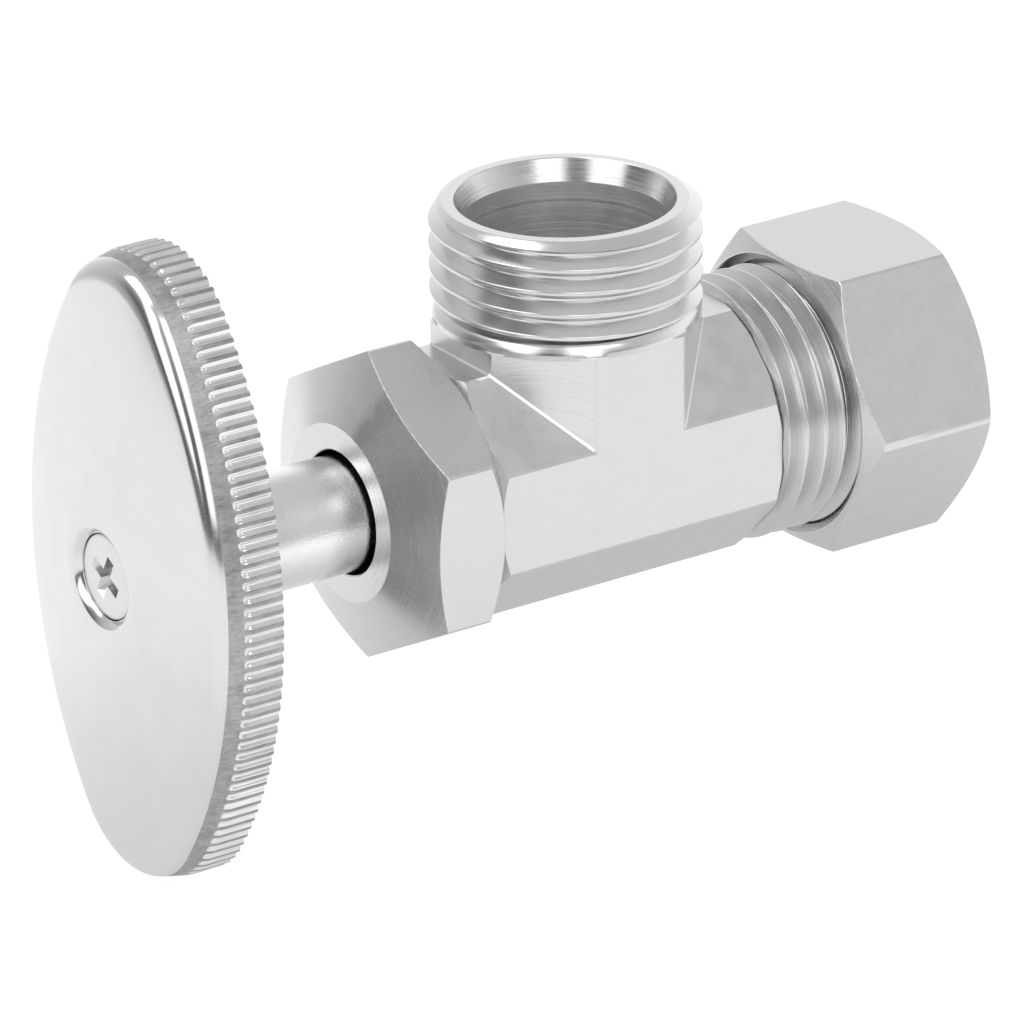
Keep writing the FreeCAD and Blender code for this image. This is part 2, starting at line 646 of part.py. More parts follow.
def handle_screw():
    top = "(%s + head_length)" % SCREW_SEAT
    blank = turned("screw_blank", (
        ("-%s" % top, "0"),
        ("-%s" % top, "head_radius - 2 * head_crown"),
        ("-%s + head_crown" % top, "head_radius"),
        ("-%s" % SCREW_SEAT, "head_radius"),
        ("-%s" % SCREW_SEAT, "screw_radius"),
        ("-%s + screw_length" % SCREW_SEAT, "screw_radius"),
        ("-%s + screw_length" % SCREW_SEAT, "0"),
    ))
    arms = []
    for order, turn in enumerate((number("cross_turn"), number("cross_turn") - 90)):
        arm = doc.addObject("Part::Box", "cross_arm_%d" % (order + 1))
        bind(arm, Length="cross_depth + " + PAST, Width="cross_width", Height="cross_span")
        spin = FreeCAD.Rotation(FreeCAD.Vector(1, 0, 0), turn)
        corner = spin.multVec(FreeCAD.Vector(0, -number("cross_width") / 2, -number("cross_span") / 2))
        front = -number("%s + %s" % (top, PAST))
        arm.Placement = FreeCAD.Placement(FreeCAD.Vector(front, corner.y, corner.z), spin)
        arms.append(arm)
    return cut("handle_screw", blank, fused("cross_recess", arms))


# Compression nut: a hexagon bored for the inlet thread and the pipe, over the ferrule
def compression_nut():
    bar = prism("nut_bar", 6, "nut_flats", "nut_front", "nut_back", True, number("nut_turn"))
    envelope = turned("nut_envelope", (
        ("nut_front", "0"),
        ("nut_front", "nut_bevel_radius"),
        ("nut_front + nut_bevel", "nut_corner"),
        ("nut_back - nut_bevel", "nut_corner"),
        ("nut_back", "nut_bevel_radius"),
        ("nut_back", "0"),
    ))
    shoulder = "(nut_back - nut_wall)"
    bore = turned("nut_bore", (
        ("nut_front - " + PAST, "0"),
        ("nut_front - " + PAST, "thread_radius + nut_mouth_depth"),
        ("nut_front", "thread_radius + nut_mouth_depth"),
        ("nut_front + nut_mouth_depth", "thread_radius + run_gap"),
        (shoulder, "thread_radius + run_gap"),
        (shoulder, "pipe_hole"),
        ("nut_back + " + PAST, "pipe_hole"),
        ("nut_back + " + PAST, "0"),
    ))
    return cut("compression_nut", common("nut_blank", bar, envelope), bore)


def compression_ferrule():
    rear = "(nut_back - nut_wall - seat_gap)"
    return turned("compression_ferrule", (
        ("ferrule_place", "ferrule_bore"),
        ("ferrule_place", "ferrule_nose"),
        ("ferrule_place + ferrule_taper", "ferrule_radius"),
        ("%s - ferrule_taper" % rear, "ferrule_radius"),
        (rear, "ferrule_nose"),
        (rear, "ferrule_bore"),
    ))


pieces = {
    "valve_body": valve_body(),
    "bonnet": bonnet(),
    "bonnet_gasket": bonnet_gasket(),
    "stem": stem(),
    "slip_washer": slip_washer(),
    "stem_ring_outer": stem_ring("stem_ring_outer", 0),
    "stem_ring_inner": stem_ring("stem_ring_inner", 1),
    "jumper": jumper(),
    "seat_washer": seat_washer(),
    "washer_screw": washer_screw(),
    "handle": handle(),
    "handle_screw": handle_screw(),
    "compression_nut": compression_nut(),
    "compression_ferrule": compression_ferrule(),
}
for name, piece in pieces.items():
    piece.Label = name
    piece.setExpression("Placement.Base.x", bound("-stop_place"))
doc.recompute()

for item in doc.Objects:
    if "Invalid" in item.State or "Error" in item.State:
        raise RuntimeError("%s did not build: %s" % (item.Name, item.State))
os.makedirs(NODES_FOLDER, exist_ok=True)
for name, piece in pieces.items():
    if piece.Shape.isNull() or not piece.Shape.isValid() or not piece.Shape.Solids:
        raise RuntimeError("%s is not a valid solid" % name)
    piece.Shape.exportStep(os.path.join(NODES_FOLDER, name + ".step"))
    box = piece.Shape.BoundBox
    print("%-20s %d solid(s) %9.2f mm3  x %7.2f..%7.2f  y %7.2f..%7.2f  z %7.2f..%7.2f" % (
        name, len(piece.Shape.Solids), piece.Shape.Volume,
        box.XMin, box.XMax, box.YMin, box.YMax, box.ZMin, box.ZMax))
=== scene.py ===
import logging
import math
from collections.abc import Callable, Sequence
from dataclasses import dataclass, field
from enum import Enum

import bmesh
import bpy
from bpy.types import Material, Node, NodeSocket, NodeTree, Object, ShaderNodeTree
from mathutils import Matrix, Vector


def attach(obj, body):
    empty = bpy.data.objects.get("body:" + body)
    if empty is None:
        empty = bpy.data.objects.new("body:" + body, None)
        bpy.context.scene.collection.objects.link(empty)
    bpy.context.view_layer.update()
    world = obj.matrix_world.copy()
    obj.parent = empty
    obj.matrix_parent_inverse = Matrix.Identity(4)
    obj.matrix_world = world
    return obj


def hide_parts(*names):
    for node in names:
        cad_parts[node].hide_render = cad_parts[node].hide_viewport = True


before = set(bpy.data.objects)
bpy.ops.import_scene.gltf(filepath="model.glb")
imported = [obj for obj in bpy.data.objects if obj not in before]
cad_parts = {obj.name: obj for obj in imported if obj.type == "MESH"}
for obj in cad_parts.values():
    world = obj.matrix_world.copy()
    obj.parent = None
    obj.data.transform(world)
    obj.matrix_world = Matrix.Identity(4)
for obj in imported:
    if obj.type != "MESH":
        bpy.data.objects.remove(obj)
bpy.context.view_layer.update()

# Looks of the isolating valve. Pieces are modelled in millimetres, measured from the crossing of the
# run's axis and the outlet's axis, and settle() brings each one to metres in the row frame.
# NEAR is how close two places count as one, and PAST how far a tool reaches beyond what it cuts.

log = logging.getLogger("valve")

MM = 0.001
STOP_PLACE = 12.6
TURN = 2 * math.pi
NEAR = 0.01
PAST = 1.0

Corner = tuple[float, float]
Point = tuple[float, float, float]


class Axis(Enum):
    """The axis that a turned form is turned about."""

    RUN = "X"
    OUTLET = "Z"

    @property
    def way(self) -> Vector:
        """The axis as a direction."""
        return Vector((1, 0, 0)) if self is Axis.RUN else Vector((0, 0, 1))


class Join(Enum):
    """What a boolean step does with its tool."""

    ADD = "UNION"
    CUT = "DIFFERENCE"
    KEEP = "INTERSECT"


# ---------------------------------------------------------------- bench work on meshes


def put_down() -> None:
    """Leaves edit mode and deselects every object."""
    if bpy.context.object is not None and bpy.context.object.mode != "OBJECT":
        bpy.ops.object.mode_set(mode="OBJECT")
    bpy.ops.object.select_all(action="DESELECT")


def take_up(piece: Object) -> None:
    """Makes one piece the only selected and the active one.

    Args:
        piece: The piece to work on.
    """
    put_down()
    piece.select_set(True)
    bpy.context.view_layer.objects.active = piece


def open_mesh(piece: Object, kind: str = "VERT") -> None:
    """Opens a piece in edit mode with nothing selected.

    Args:
        piece: The piece to open.
        kind: VERT, EDGE or FACE.
    """
    take_up(piece)
    bpy.ops.object.mode_set(mode="EDIT")
    bpy.ops.mesh.select_mode(type=kind)
    bpy.ops.mesh.select_all(action="DESELECT")


def pick(piece: Object, kind: str, wanted: Callable[[object], bool]) -> None:
    """Selects the vertices, edges or faces of the open piece that pass a test.

    Args:
        piece: The open piece.
        kind: verts, edges or faces.
        wanted: The test on one element.
    """
    bpy.ops.mesh.select_mode(type={"verts": "VERT", "edges": "EDGE", "faces": "FACE"}[kind])
    bpy.ops.mesh.select_all(action="DESELECT")
    mesh = bmesh.from_edit_mesh(piece.data)
    for element in getattr(mesh, kind):
        if wanted(element):
            element.select_set(True)
    mesh.select_flush_mode()
    bmesh.update_edit_mesh(piece.data)


def pick_whole() -> None:
    """Selects the whole open mesh."""
    bpy.ops.mesh.select_all(action="SELECT")


def close_mesh(merge: float = 0.002) -> None:
    """Merges doubles, points the faces outwards and leaves edit mode.

    Args:
        merge: The merging distance.
    """
    pick_whole()
    bpy.ops.mesh.remove_doubles(threshold=merge)
    bpy.ops.mesh.normals_make_consistent(inside=False)
    put_down()


def named(name: str) -> Object:
    """Names the active object and its mesh.

    Args:
        name: The piece's name.

    Returns:
        The object.
    """
    piece = bpy.context.object
    piece.name = name
    piece.data.name = name
    return piece


def point_at(axis: Axis, along: float, out: float) -> Point:
    """A point of a turned form's outline.

    Args:
        axis: The form's axis.
        along: Place along the axis.
        out: Distance from it.

    Returns:
        The point.
    """
    return (along, 0.0, out) if axis is Axis.RUN else (out, 0.0, along)


def drawn(name: str, places: Sequence[Vector]) -> Object:
    """A line drawn from place to place, left open.

    Args:
        name: The piece's name.
        places: The line's corners.

    Returns:
        The piece.
    """
    put_down()
    bpy.ops.mesh.primitive_plane_add(size=1)
    piece = named(name)
    open_mesh(piece)
    pick_whole()
    bpy.ops.mesh.merge(type="CENTER")
    pick_whole()
    bpy.ops.transform.translate(value=places[0])
    for start, end in zip(places, places[1:]):
        bpy.ops.mesh.extrude_region_move(TRANSFORM_OT_translate={"value": end - start})
    return piece


def turned(name: str, axis: Axis, outline: Sequence[Corner], rounding: float = 0.0,
           steps: int = 128) -> Object:
    """A solid or ring turned from an outline.

    Args:
        name: The piece's name.
        axis: The axis to turn about.
        outline: Corners as (along, out). It closes on itself when its ends don't lie on the axis.
        rounding: Rounding of the outline's corners.
        steps: Steps of the full turn.

    Returns:
        The turned piece.
    """
    places = [Vector(point_at(axis, *corner)) for corner in outline]
    if outline[0][1] > 0 and outline[-1][1] > 0:
        places.append(places[0])
    piece = drawn(name, places)
    pick_whole()
    bpy.ops.mesh.remove_doubles(threshold=0.0001)
    if rounding > 0:
        pick(piece, "verts", lambda corner: len(corner.link_edges) == 2 and corner.calc_edge_angle(0) > 0.3)
        bpy.ops.mesh.bevel(offset=rounding, segments=3, affect="VERTICES", clamp_overlap=True)
    pick_whole()
    bpy.ops.mesh.spin(steps=steps, angle=TURN, center=(0, 0, 0), axis=axis.way)
    close_mesh()
    return piece


def bar(name: str, axis: Axis, sides: int, flats: float, start: float, end: float, spin: float = 0.0,
        edge: float = 0.0) -> Object:
    """A bar with flat sides.

    Args:
        name: The piece's name.
        axis: The bar's axis.
        sides: How many sides.
        flats: Size across the flats.
        start: Where it starts along the axis.
        end: Where it ends.
        spin: Degrees that it is turned from flats facing the axes.
        edge: Rounding of its long edges.

    Returns:
        The bar.
    """
    put_down()
    tip = Matrix.Rotation(math.pi / 2, 4, "Y") if axis is Axis.RUN else Matrix.Identity(4)
    turn = Matrix.Rotation(math.pi / sides - math.pi / 2 + math.radians(spin), 4, "Z")
    bpy.ops.mesh.primitive_cylinder_add(vertices=sides, radius=flats / 2 / math.cos(math.pi / sides),
                                        depth=end - start, location=point_at(axis, (start + end) / 2, 0.0),
                                        rotation=(tip @ turn).to_euler())
    piece = named(name)
    bpy.ops.object.transform_apply()
    if edge > 0:
        open_mesh(piece, "EDGE")
        pick(piece, "edges", lambda line: abs(
            (line.verts[0].co - line.verts[1].co).normalized().dot(axis.way)) > 0.99)
        bpy.ops.mesh.bevel(offset=edge, segments=4, affect="EDGES")
        close_mesh()
    return piece


def applied(piece: Object, kind: str, **settings: object) -> Object:
    """Puts a modifier on a piece and applies it.

    Args:
        piece: The piece.
        kind: The modifier's type.
        settings: Its properties.

    Returns:
        The piece.
    """
    take_up(piece)
    step = piece.modifiers.new(kind.lower(), kind)
    for key, value in settings.items():
        setattr(step, key, value)
    bpy.ops.object.modifier_apply(modifier=step.name)
    return piece


def joined(base: Object, tool: Object, how: Join) -> Object:
    """Adds, cuts or keeps what a tool shares with a piece, and removes the tool.

    Args:
        base: The piece that stays.
        tool: The piece that is used up.
        how: What to do.

    Returns:
        The base.
    """
    applied(base, "BOOLEAN", operation=how.value, object=tool, solver="EXACT")
    bpy.data.objects.remove(tool)
    return base


def eased(piece: Object, width: float, degrees: float = 30.0) -> Object:
    """Eases a piece's sharp edges.

    Args:
        piece: The piece.
        width: Width of the easing.
        degrees: Edges sharper than this are eased.

    Returns:
        The piece.
    """
    return applied(piece, "BEVEL", width=width, segments=2, limit_method="ANGLE",
                   angle_limit=math.radians(degrees), use_clamp_overlap=True)


def smoothed(piece: Object, degrees: float, level: bool = True) -> Object:
    """Shades a piece smooth up to an angle and keeps its flats flat.

    Args:
        piece: The piece.
        degrees: Edges sharper than this stay sharp.
        level: Whether the normals lean on the larger faces.

    Returns:
        The piece.
    """
    take_up(piece)
    bpy.ops.object.shade_smooth_by_angle(angle=math.radians(degrees), keep_sharp_edges=False)
    return applied(piece, "WEIGHTED_NORMAL", keep_sharp=True, weight=80) if level else piece


def settle(piece: Object, body: str, slot: str, *nodes: str) -> Object:
    """Brings a piece to metres in the row frame and hangs it on its body.

    Args:
        piece: The piece, in millimetres from the crossing.
        body: The body that it moves with.
        slot: Not used.
        nodes: The CAD nodes that it stands for.

    Returns:
        The piece.
    """
    take_up(piece)
    piece.scale = (MM, MM, MM)
    piece.location = (-STOP_PLACE * MM, 0, 0)
    bpy.ops.object.transform_apply()
    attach(piece, body)
    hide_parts(*nodes)
    log.info("%s: %d faces on %s", piece.name, len(piece.data.polygons), body)
    return piece


# ---------------------------------------------------------------- finishes


class Sheet:
    """Lays out one node tree."""

    def __init__(self, tree: NodeTree) -> None:
        """Keeps the tree and clears it.

        Args:
            tree: The tree.
        """
        self.tree = tree
        tree.nodes.clear()

    def node(self, kind: str, inputs: dict[str | int, object], **settings: object) -> Node:
        """Adds a node.

        Args:
            kind: The node's type.
            inputs: Sockets to link, or values to set, by the input's name or place.
            settings: The node's properties.

        Returns:
            The node.
        """
        made = self.tree.nodes.new(kind)
        for key, value in settings.items():
            setattr(made, key, value)
        for key, value in inputs.items():
            if isinstance(value, NodeSocket):
                self.tree.links.new(value, made.inputs[key])
            else:
                made.inputs[key].default_value = value
        return made

    def sum(self, operation: str, first: object, second: object = 0.0, third: object = 0.0) -> NodeSocket:
        """A Math node's result.

        Args:
            operation: The node's operation.
            first: First value or socket.
            second: Second value or socket.
            third: Third value or socket.

        Returns:
            The result's socket.
        """
        return self.node("ShaderNodeMath", {0: first, 1: second, 2: third}, operation=operation).outputs[0]

    def noise(self, vector: NodeSocket, scale: float, detail: float = 2.0,
              roughness: float = 0.5) -> NodeSocket:
        """A noise texture's value.

        Args:
            vector: Where it is read.
            scale: Its scale.
            detail: Its detail.
            roughness: Its roughness.

        Returns:
            The value's socket.
        """
        inputs = {"Vector": vector, "Scale": scale, "Detail": detail, "Roughness": roughness}
        return self.node("ShaderNodeTexNoise", inputs).outputs["Fac"]

    def stretch(self, vector: NodeSocket, location: Point = (0, 0, 0), scale: Point = (1, 1, 1),
                rotation: Point = (0, 0, 0)) -> NodeSocket:
        """A Mapping node's vector.

        Args:
            vector: The vector that it reads.
            location: Its shift.
            scale: Its stretch.
            rotation: Its turn.

        Returns:
            The vector's socket.
        """
        inputs = {"Vector": vector, "Location": location, "Rotation": rotation, "Scale": scale}
        return self.node("ShaderNodeMapping", inputs).outputs["Vector"]

    def spread(self, value: NodeSocket, low: float, high: float, to_low: float, to_high: float,
               shape: str = "LINEAR") -> NodeSocket:
        """A Map Range node's result.

        Args:
            value: The value.
            low: Start of its range.
            high: End of its range.
            to_low: What the start becomes.
            to_high: What the end becomes.
            shape: The way between them.

        Returns:
            The result's socket.
        """
        inputs = {"Value": value, "From Min": low, "From Max": high, "To Min": to_low, "To Max": to_high}
        return self.node("ShaderNodeMapRange", inputs, interpolation_type=shape).outputs["Result"]

    def split(self, vector: NodeSocket) -> Sequence[NodeSocket]:
        """A vector's three parts.

        Args:
            vector: The vector.

        Returns:
            The sockets of X, Y and Z.
        """
        return list(self.node("ShaderNodeSeparateXYZ", {0: vector}).outputs)

    def tones(self, value: NodeSocket, stops: Sequence[Corner]) -> NodeSocket:
        """A grey ramp.

        Args:
            value: What it is read with.
            stops: Places and tones.

        Returns:
            The tone's socket.
        """
        made = self.node("ShaderNodeValToRGB", {0: value})
        ramp = made.color_ramp
        for order, (place, tone) in enumerate(stops):
            stop = ramp.elements[order] if order < 2 else ramp.elements.new(place)
            stop.position = place
            stop.color = (tone, tone, tone, 1)
        return made.outputs[0]

    def surface(self, tones: Sequence[Point], mask: NodeSocket, height: NodeSocket, relief: float,
                **inputs: object) -> None:
        """Ends a material's tree with its shader.

        Args:
            tones: Its two colours.
            mask: Where the second colour shows.
            height: The relief's height.
            relief: The relief's depth.
            inputs: The shader's other inputs.
        """
        tint = self.node("ShaderNodeMix", {0: mask, 6: (*tones[0], 1), 7: (*tones[1], 1)}, data_type="RGBA")
        bump = self.node("ShaderNodeBump", {"Distance": relief, "Height": height})
        shader = self.node("ShaderNodeBsdfPrincipled", {
            "Base Color": tint.outputs[2], "Normal": bump.outputs[0], **inputs})
        self.node("ShaderNodeOutputMaterial", {0: shader.outputs[0]})


def new_material(name: str) -> tuple[Material, Sheet, NodeSocket]:
    """A new material with an empty tree.

    Args:
        name: Its name.

    Returns:
        The material, its sheet and the place that its effects are read at.
    """
    made = bpy.data.materials.new(name)
    made.use_nodes = True
    sheet = Sheet(made.node_tree)
    return made, sheet, sheet.node("ShaderNodeTexCoord", {}).outputs["Object"]


def effect(name: str, inputs: dict[str, float], outputs: dict[str, Callable[[Sheet, Node], NodeSocket]],
           ) -> ShaderNodeTree:
    """A node group that reads a vector.

    Args:
        name: The group's name.
        inputs: Names and values of its number inputs.
        outputs: Names of its number outputs, and what lays each one out on the sheet.

    Returns:
        The group.
    """
    group = bpy.data.node_groups.new(name, "ShaderNodeTree")
    group.interface.new_socket("Vector", in_out="INPUT", socket_type="NodeSocketVector")
    for key, value in inputs.items():
        group.interface.new_socket(key, in_out="INPUT", socket_type="NodeSocketFloat").default_value = value
    for key in outputs:
        group.interface.new_socket(key, in_out="OUTPUT", socket_type="NodeSocketFloat")
    sheet = Sheet(group)
    given = sheet.node("NodeGroupInput", {})
    sheet.node("NodeGroupOutput", {key: lay_out(sheet, given) for key, lay_out in outputs.items()})
    return group


def forged_skin() -> ShaderNodeTree:
    """Skin of a forging or a casting: soft unevenness, small dimples and a cloudy sheen.

    Returns:
        The group, with Height and Mark.
    """
    soft_scale, fine_scale, pit_scale, cloud_scale = 900.0, 9000.0, 2600.0, 240.0

    def place(sheet: Sheet, given: Node) -> NodeSocket:
        """The scaled vector."""
        inputs = {0: given.outputs["Vector"], "Scale": given.outputs["Scale"]}
        return sheet.node("ShaderNodeVectorMath", inputs, operation="SCALE").outputs[0]

    def height(sheet: Sheet, given: Node) -> NodeSocket:
        """Soft and fine grain with dimples."""
        vector = place(sheet, given)
        pits = sheet.spread(sheet.noise(vector, pit_scale, 1.0), 0.28, 0.4, -1.0, 0.0)
        grain = sheet.sum("MULTIPLY_ADD", sheet.noise(vector, fine_scale, 2.0, 0.6), given.outputs["Fine"],
                          sheet.noise(vector, soft_scale, 3.0, 0.6))
        return sheet.sum("MULTIPLY_ADD", pits, given.outputs["Dimples"],
                         sheet.sum("MULTIPLY", grain, given.outputs["Grain"]))

    return effect("forged_skin", {"Scale": 1.0, "Grain": 1.0, "Fine": 0.35, "Dimples": 1.0}, {
        "Height": height,
        "Mark": lambda sheet, given: sheet.noise(place(sheet, given), cloud_scale, 4.0, 0.65)})


def tool_marks() -> ShaderNodeTree:
    """Rings that a turning tool leaves, read along the X axis and across the faces square to it.

    Returns:
        The group, with Height and Mark.
    """
    coarse_scale, fine_scale, patch_scale = 3600.0, 14000.0, 420.0

    def rings(sheet: Sheet, given: Node, scale: float) -> NodeSocket:
        """Rings of one scale."""
        along, *cross = sheet.split(given.outputs["Vector"])
        out = sheet.sum("SQRT", sheet.sum("ADD", *(sheet.sum("POWER", part, 2.0) for part in cross)))
        line = sheet.node("ShaderNodeCombineXYZ", {"X": sheet.sum("ADD", out, along)})
        return sheet.noise(line.outputs[0], scale)

    def height(sheet: Sheet, given: Node) -> NodeSocket:
        """Coarse and fine rings."""
        depth = given.outputs["Depth"]
        return sheet.sum("MULTIPLY_ADD", rings(sheet, given, coarse_scale), depth,
                         sheet.sum("MULTIPLY", rings(sheet, given, fine_scale), depth))

    def mark(sheet: Sheet, given: Node) -> NodeSocket:
        """Coarse rings with patches."""
        patchy = sheet.noise(given.outputs["Vector"], patch_scale)
        return sheet.sum("MULTIPLY_ADD", patchy, 0.5,
                         sheet.sum("MULTIPLY", rings(sheet, given, coarse_scale), 0.5))

    return effect("tool_marks", {"Depth": 1.0}, {"Height": height, "Mark": mark})


def brushed() -> ShaderNodeTree:
    """Short fine scratches along the vector's X.

    Returns:
        The group, with Height and Mark.
    """
    def mark(sheet: Sheet, given: Node) -> NodeSocket:
        """The scratches."""
        return sheet.noise(sheet.stretch(given.outputs["Vector"], scale=(300, 6000, 6000)), 1.0, 3.0, 0.6)

    return effect("brushed", {"Depth": 1.0}, {
        "Height": lambda sheet, given: sheet.sum("MULTIPLY", mark(sheet, given), given.outputs["Depth"]),
        "Mark": mark})


@dataclass(frozen=True)
class Plating:
    """A plated or bare metal finish."""

    name: str
    colour: Point
    gloss_low: float
    gloss_high: float
    skin: float = 0.0
    skin_scale: float = 1.0
    skin_fine: float = 0.35
    dimples: float = 0.0
    rings: float = 0.0
    ring_turn: Point = (0.0, 0.0, 0.0)
    ring_centre: Point = (0.0, 0.0, 0.0)
    streaks: float = 0.0
    streak_turn: Point = (0.0, 0.0, 0.0)
    relief: float = 0.00002
    shade: float = 0.93

    def material(self, groups: dict[str, ShaderNodeTree]) -> Material:
        """Builds the material.

        Args:
            groups: The shared effects by name.

        Returns:
            The material.
        """
        made, sheet, place = new_material(self.name)
        skin = sheet.node("ShaderNodeGroup", {
            "Vector": place, "Scale": self.skin_scale, "Grain": self.skin, "Fine": self.skin_fine,
            "Dimples": self.dimples}, node_tree=groups["forged_skin"])
        height, sheen = skin.outputs["Height"], skin.outputs["Mark"]
        for name, depth, centre, turn, share in (
                ("tool_marks", self.rings, self.ring_centre, self.ring_turn, 0.6),
                ("brushed", self.streaks, (0, 0, 0), self.streak_turn, 0.5)):
            if depth > 0:
                laid = sheet.stretch(place, centre, rotation=turn)
                marks = sheet.node("ShaderNodeGroup", {"Vector": laid, "Depth": depth},
                                   node_tree=groups[name])
                height = sheet.sum("ADD", height, marks.outputs["Height"])
                sheen = sheet.sum("MULTIPLY_ADD", marks.outputs["Mark"], share,
                                  sheet.sum("MULTIPLY", sheen, 1 - share))
        shaded = tuple(part * self.shade for part in self.colour)
        sheet.surface((shaded, self.colour), sheet.spread(sheen, 0.3, 0.6, 0.0, 1.0), height, self.relief,
                      Roughness=sheet.spread(sheen, 0.3, 0.7, self.gloss_low, self.gloss_high), Metallic=1.0)
        return made


@dataclass(frozen=True)
class Soft:
    """A rubber, plastic or fibre finish."""

    name: str
    colour: Point
    fleck: Point
    gloss: float
    grain: float = 1500.0
    relief: float = 0.00001

    def material(self, groups: dict[str, ShaderNodeTree]) -> Material:
        """Builds the material.

        Args:
            groups: The shared effects by name, which it doesn't need.

        Returns:
            The material.
        """
        made, sheet, place = new_material(self.name)
        grain = sheet.noise(place, self.grain, 3.0, 0.6)
        sheet.surface((self.colour, self.fleck), sheet.spread(grain, 0.4, 0.65, 0.0, 1.0), grain, self.relief,
                      Roughness=sheet.spread(grain, 0.3, 0.7, self.gloss - 0.06, self.gloss + 0.06))
        return made


CHROME = (0.7, 0.704, 0.71)
OUTLET = {"rings": 1.0, "ring_turn": (0.0, math.pi / 2, 0.0), "ring_centre": (0.0, 0.0, -STOP_PLACE * MM)}

FORGED = Plating("forged_chrome", CHROME, 0.22, 0.36, skin=0.8, skin_scale=1.6, dimples=0.1, relief=0.000012)
THREADED = Plating("threaded_chrome", CHROME, 0.14, 0.28, rings=1.0, relief=0.000014)
OUTLET_THREADED = Plating("outlet_threaded_chrome", CHROME, 0.14, 0.28, relief=0.000012, **OUTLET)
BAR = Plating("bar_chrome", CHROME, 0.24, 0.36, skin=0.4, skin_scale=2.0, dimples=0.05, streaks=0.5,
              streak_turn=(0.0, 0.0, math.pi / 2), relief=0.000008)
TURNED = Plating("turned_chrome", CHROME, 0.2, 0.34, rings=1.0, relief=0.000013)
POLISHED = Plating("polished_chrome", CHROME, 0.1, 0.2, skin=0.12, streaks=0.15, relief=0.000004)
# groove_painted_bright_chrome is a brighter copy of the handle's chrome for the flutes' grooves: a painted
# highlight for their white glints.
GROOVE_PAINTED_BRIGHT = Plating("groove_painted_bright_chrome", (0.9, 0.9, 0.9), 0.12, 0.24, streaks=1.0, relief=0.000006, shade=0.75)
# dull_painted_dark_chrome is rough and brushed, and its colour is also much darker than the chrome: painted
# shade on the handle's flare and lands.
DULL_PAINTED_DARK = Plating("dull_painted_dark_chrome", (0.47, 0.475, 0.485), 0.36, 0.48, skin=0.6, skin_scale=3.0, streaks=1.0,
                 shade=0.5)
BORED = Plating("bored_chrome", (0.78, 0.785, 0.79), 0.4, 0.55, relief=0.00003, shade=0.7, **OUTLET)
CAST = Plating("cast_chrome", (0.85, 0.854, 0.86), 0.12, 0.2, skin=0.7, skin_scale=0.75, skin_fine=1.6,
               dimples=0.2)
HOLLOW = Plating("dull_hollow", (0.55, 0.55, 0.55), 0.45, 0.6, skin=1.0, dimples=0.4, relief=0.00006)
NICKEL = Plating("nickel_screw", (0.69, 0.69, 0.69), 0.16, 0.28, skin=0.6, rings=0.3, relief=0.000008)
BRASS = Plating("turned_brass", (0.78, 0.58, 0.26), 0.22, 0.36, rings=1.0, relief=0.000005)
RUBBER = Soft("seal_rubber", (0.03, 0.03, 0.03), (0.05, 0.05, 0.05), 0.5)
SLIP = Soft("slip_plastic", (0.82, 0.82, 0.8), (0.9, 0.9, 0.88), 0.35)
FIBRE = Soft("gasket_fibre", (0.32, 0.07, 0.04), (0.45, 0.13, 0.08), 0.7, 2600.0)
FINISHES = (FORGED, THREADED, OUTLET_THREADED, BORED, BAR, TURNED, POLISHED, GROOVE_PAINTED_BRIGHT, DULL_PAINTED_DARK, CAST, HOLLOW,
            NICKEL, BRASS, RUBBER, SLIP, FIBRE)
HANDLE_FINISHES = (POLISHED, CAST, HOLLOW, DULL_PAINTED_DARK, GROOVE_PAINTED_BRIGHT)


# ---------------------------------------------------------------- the valve's pieces


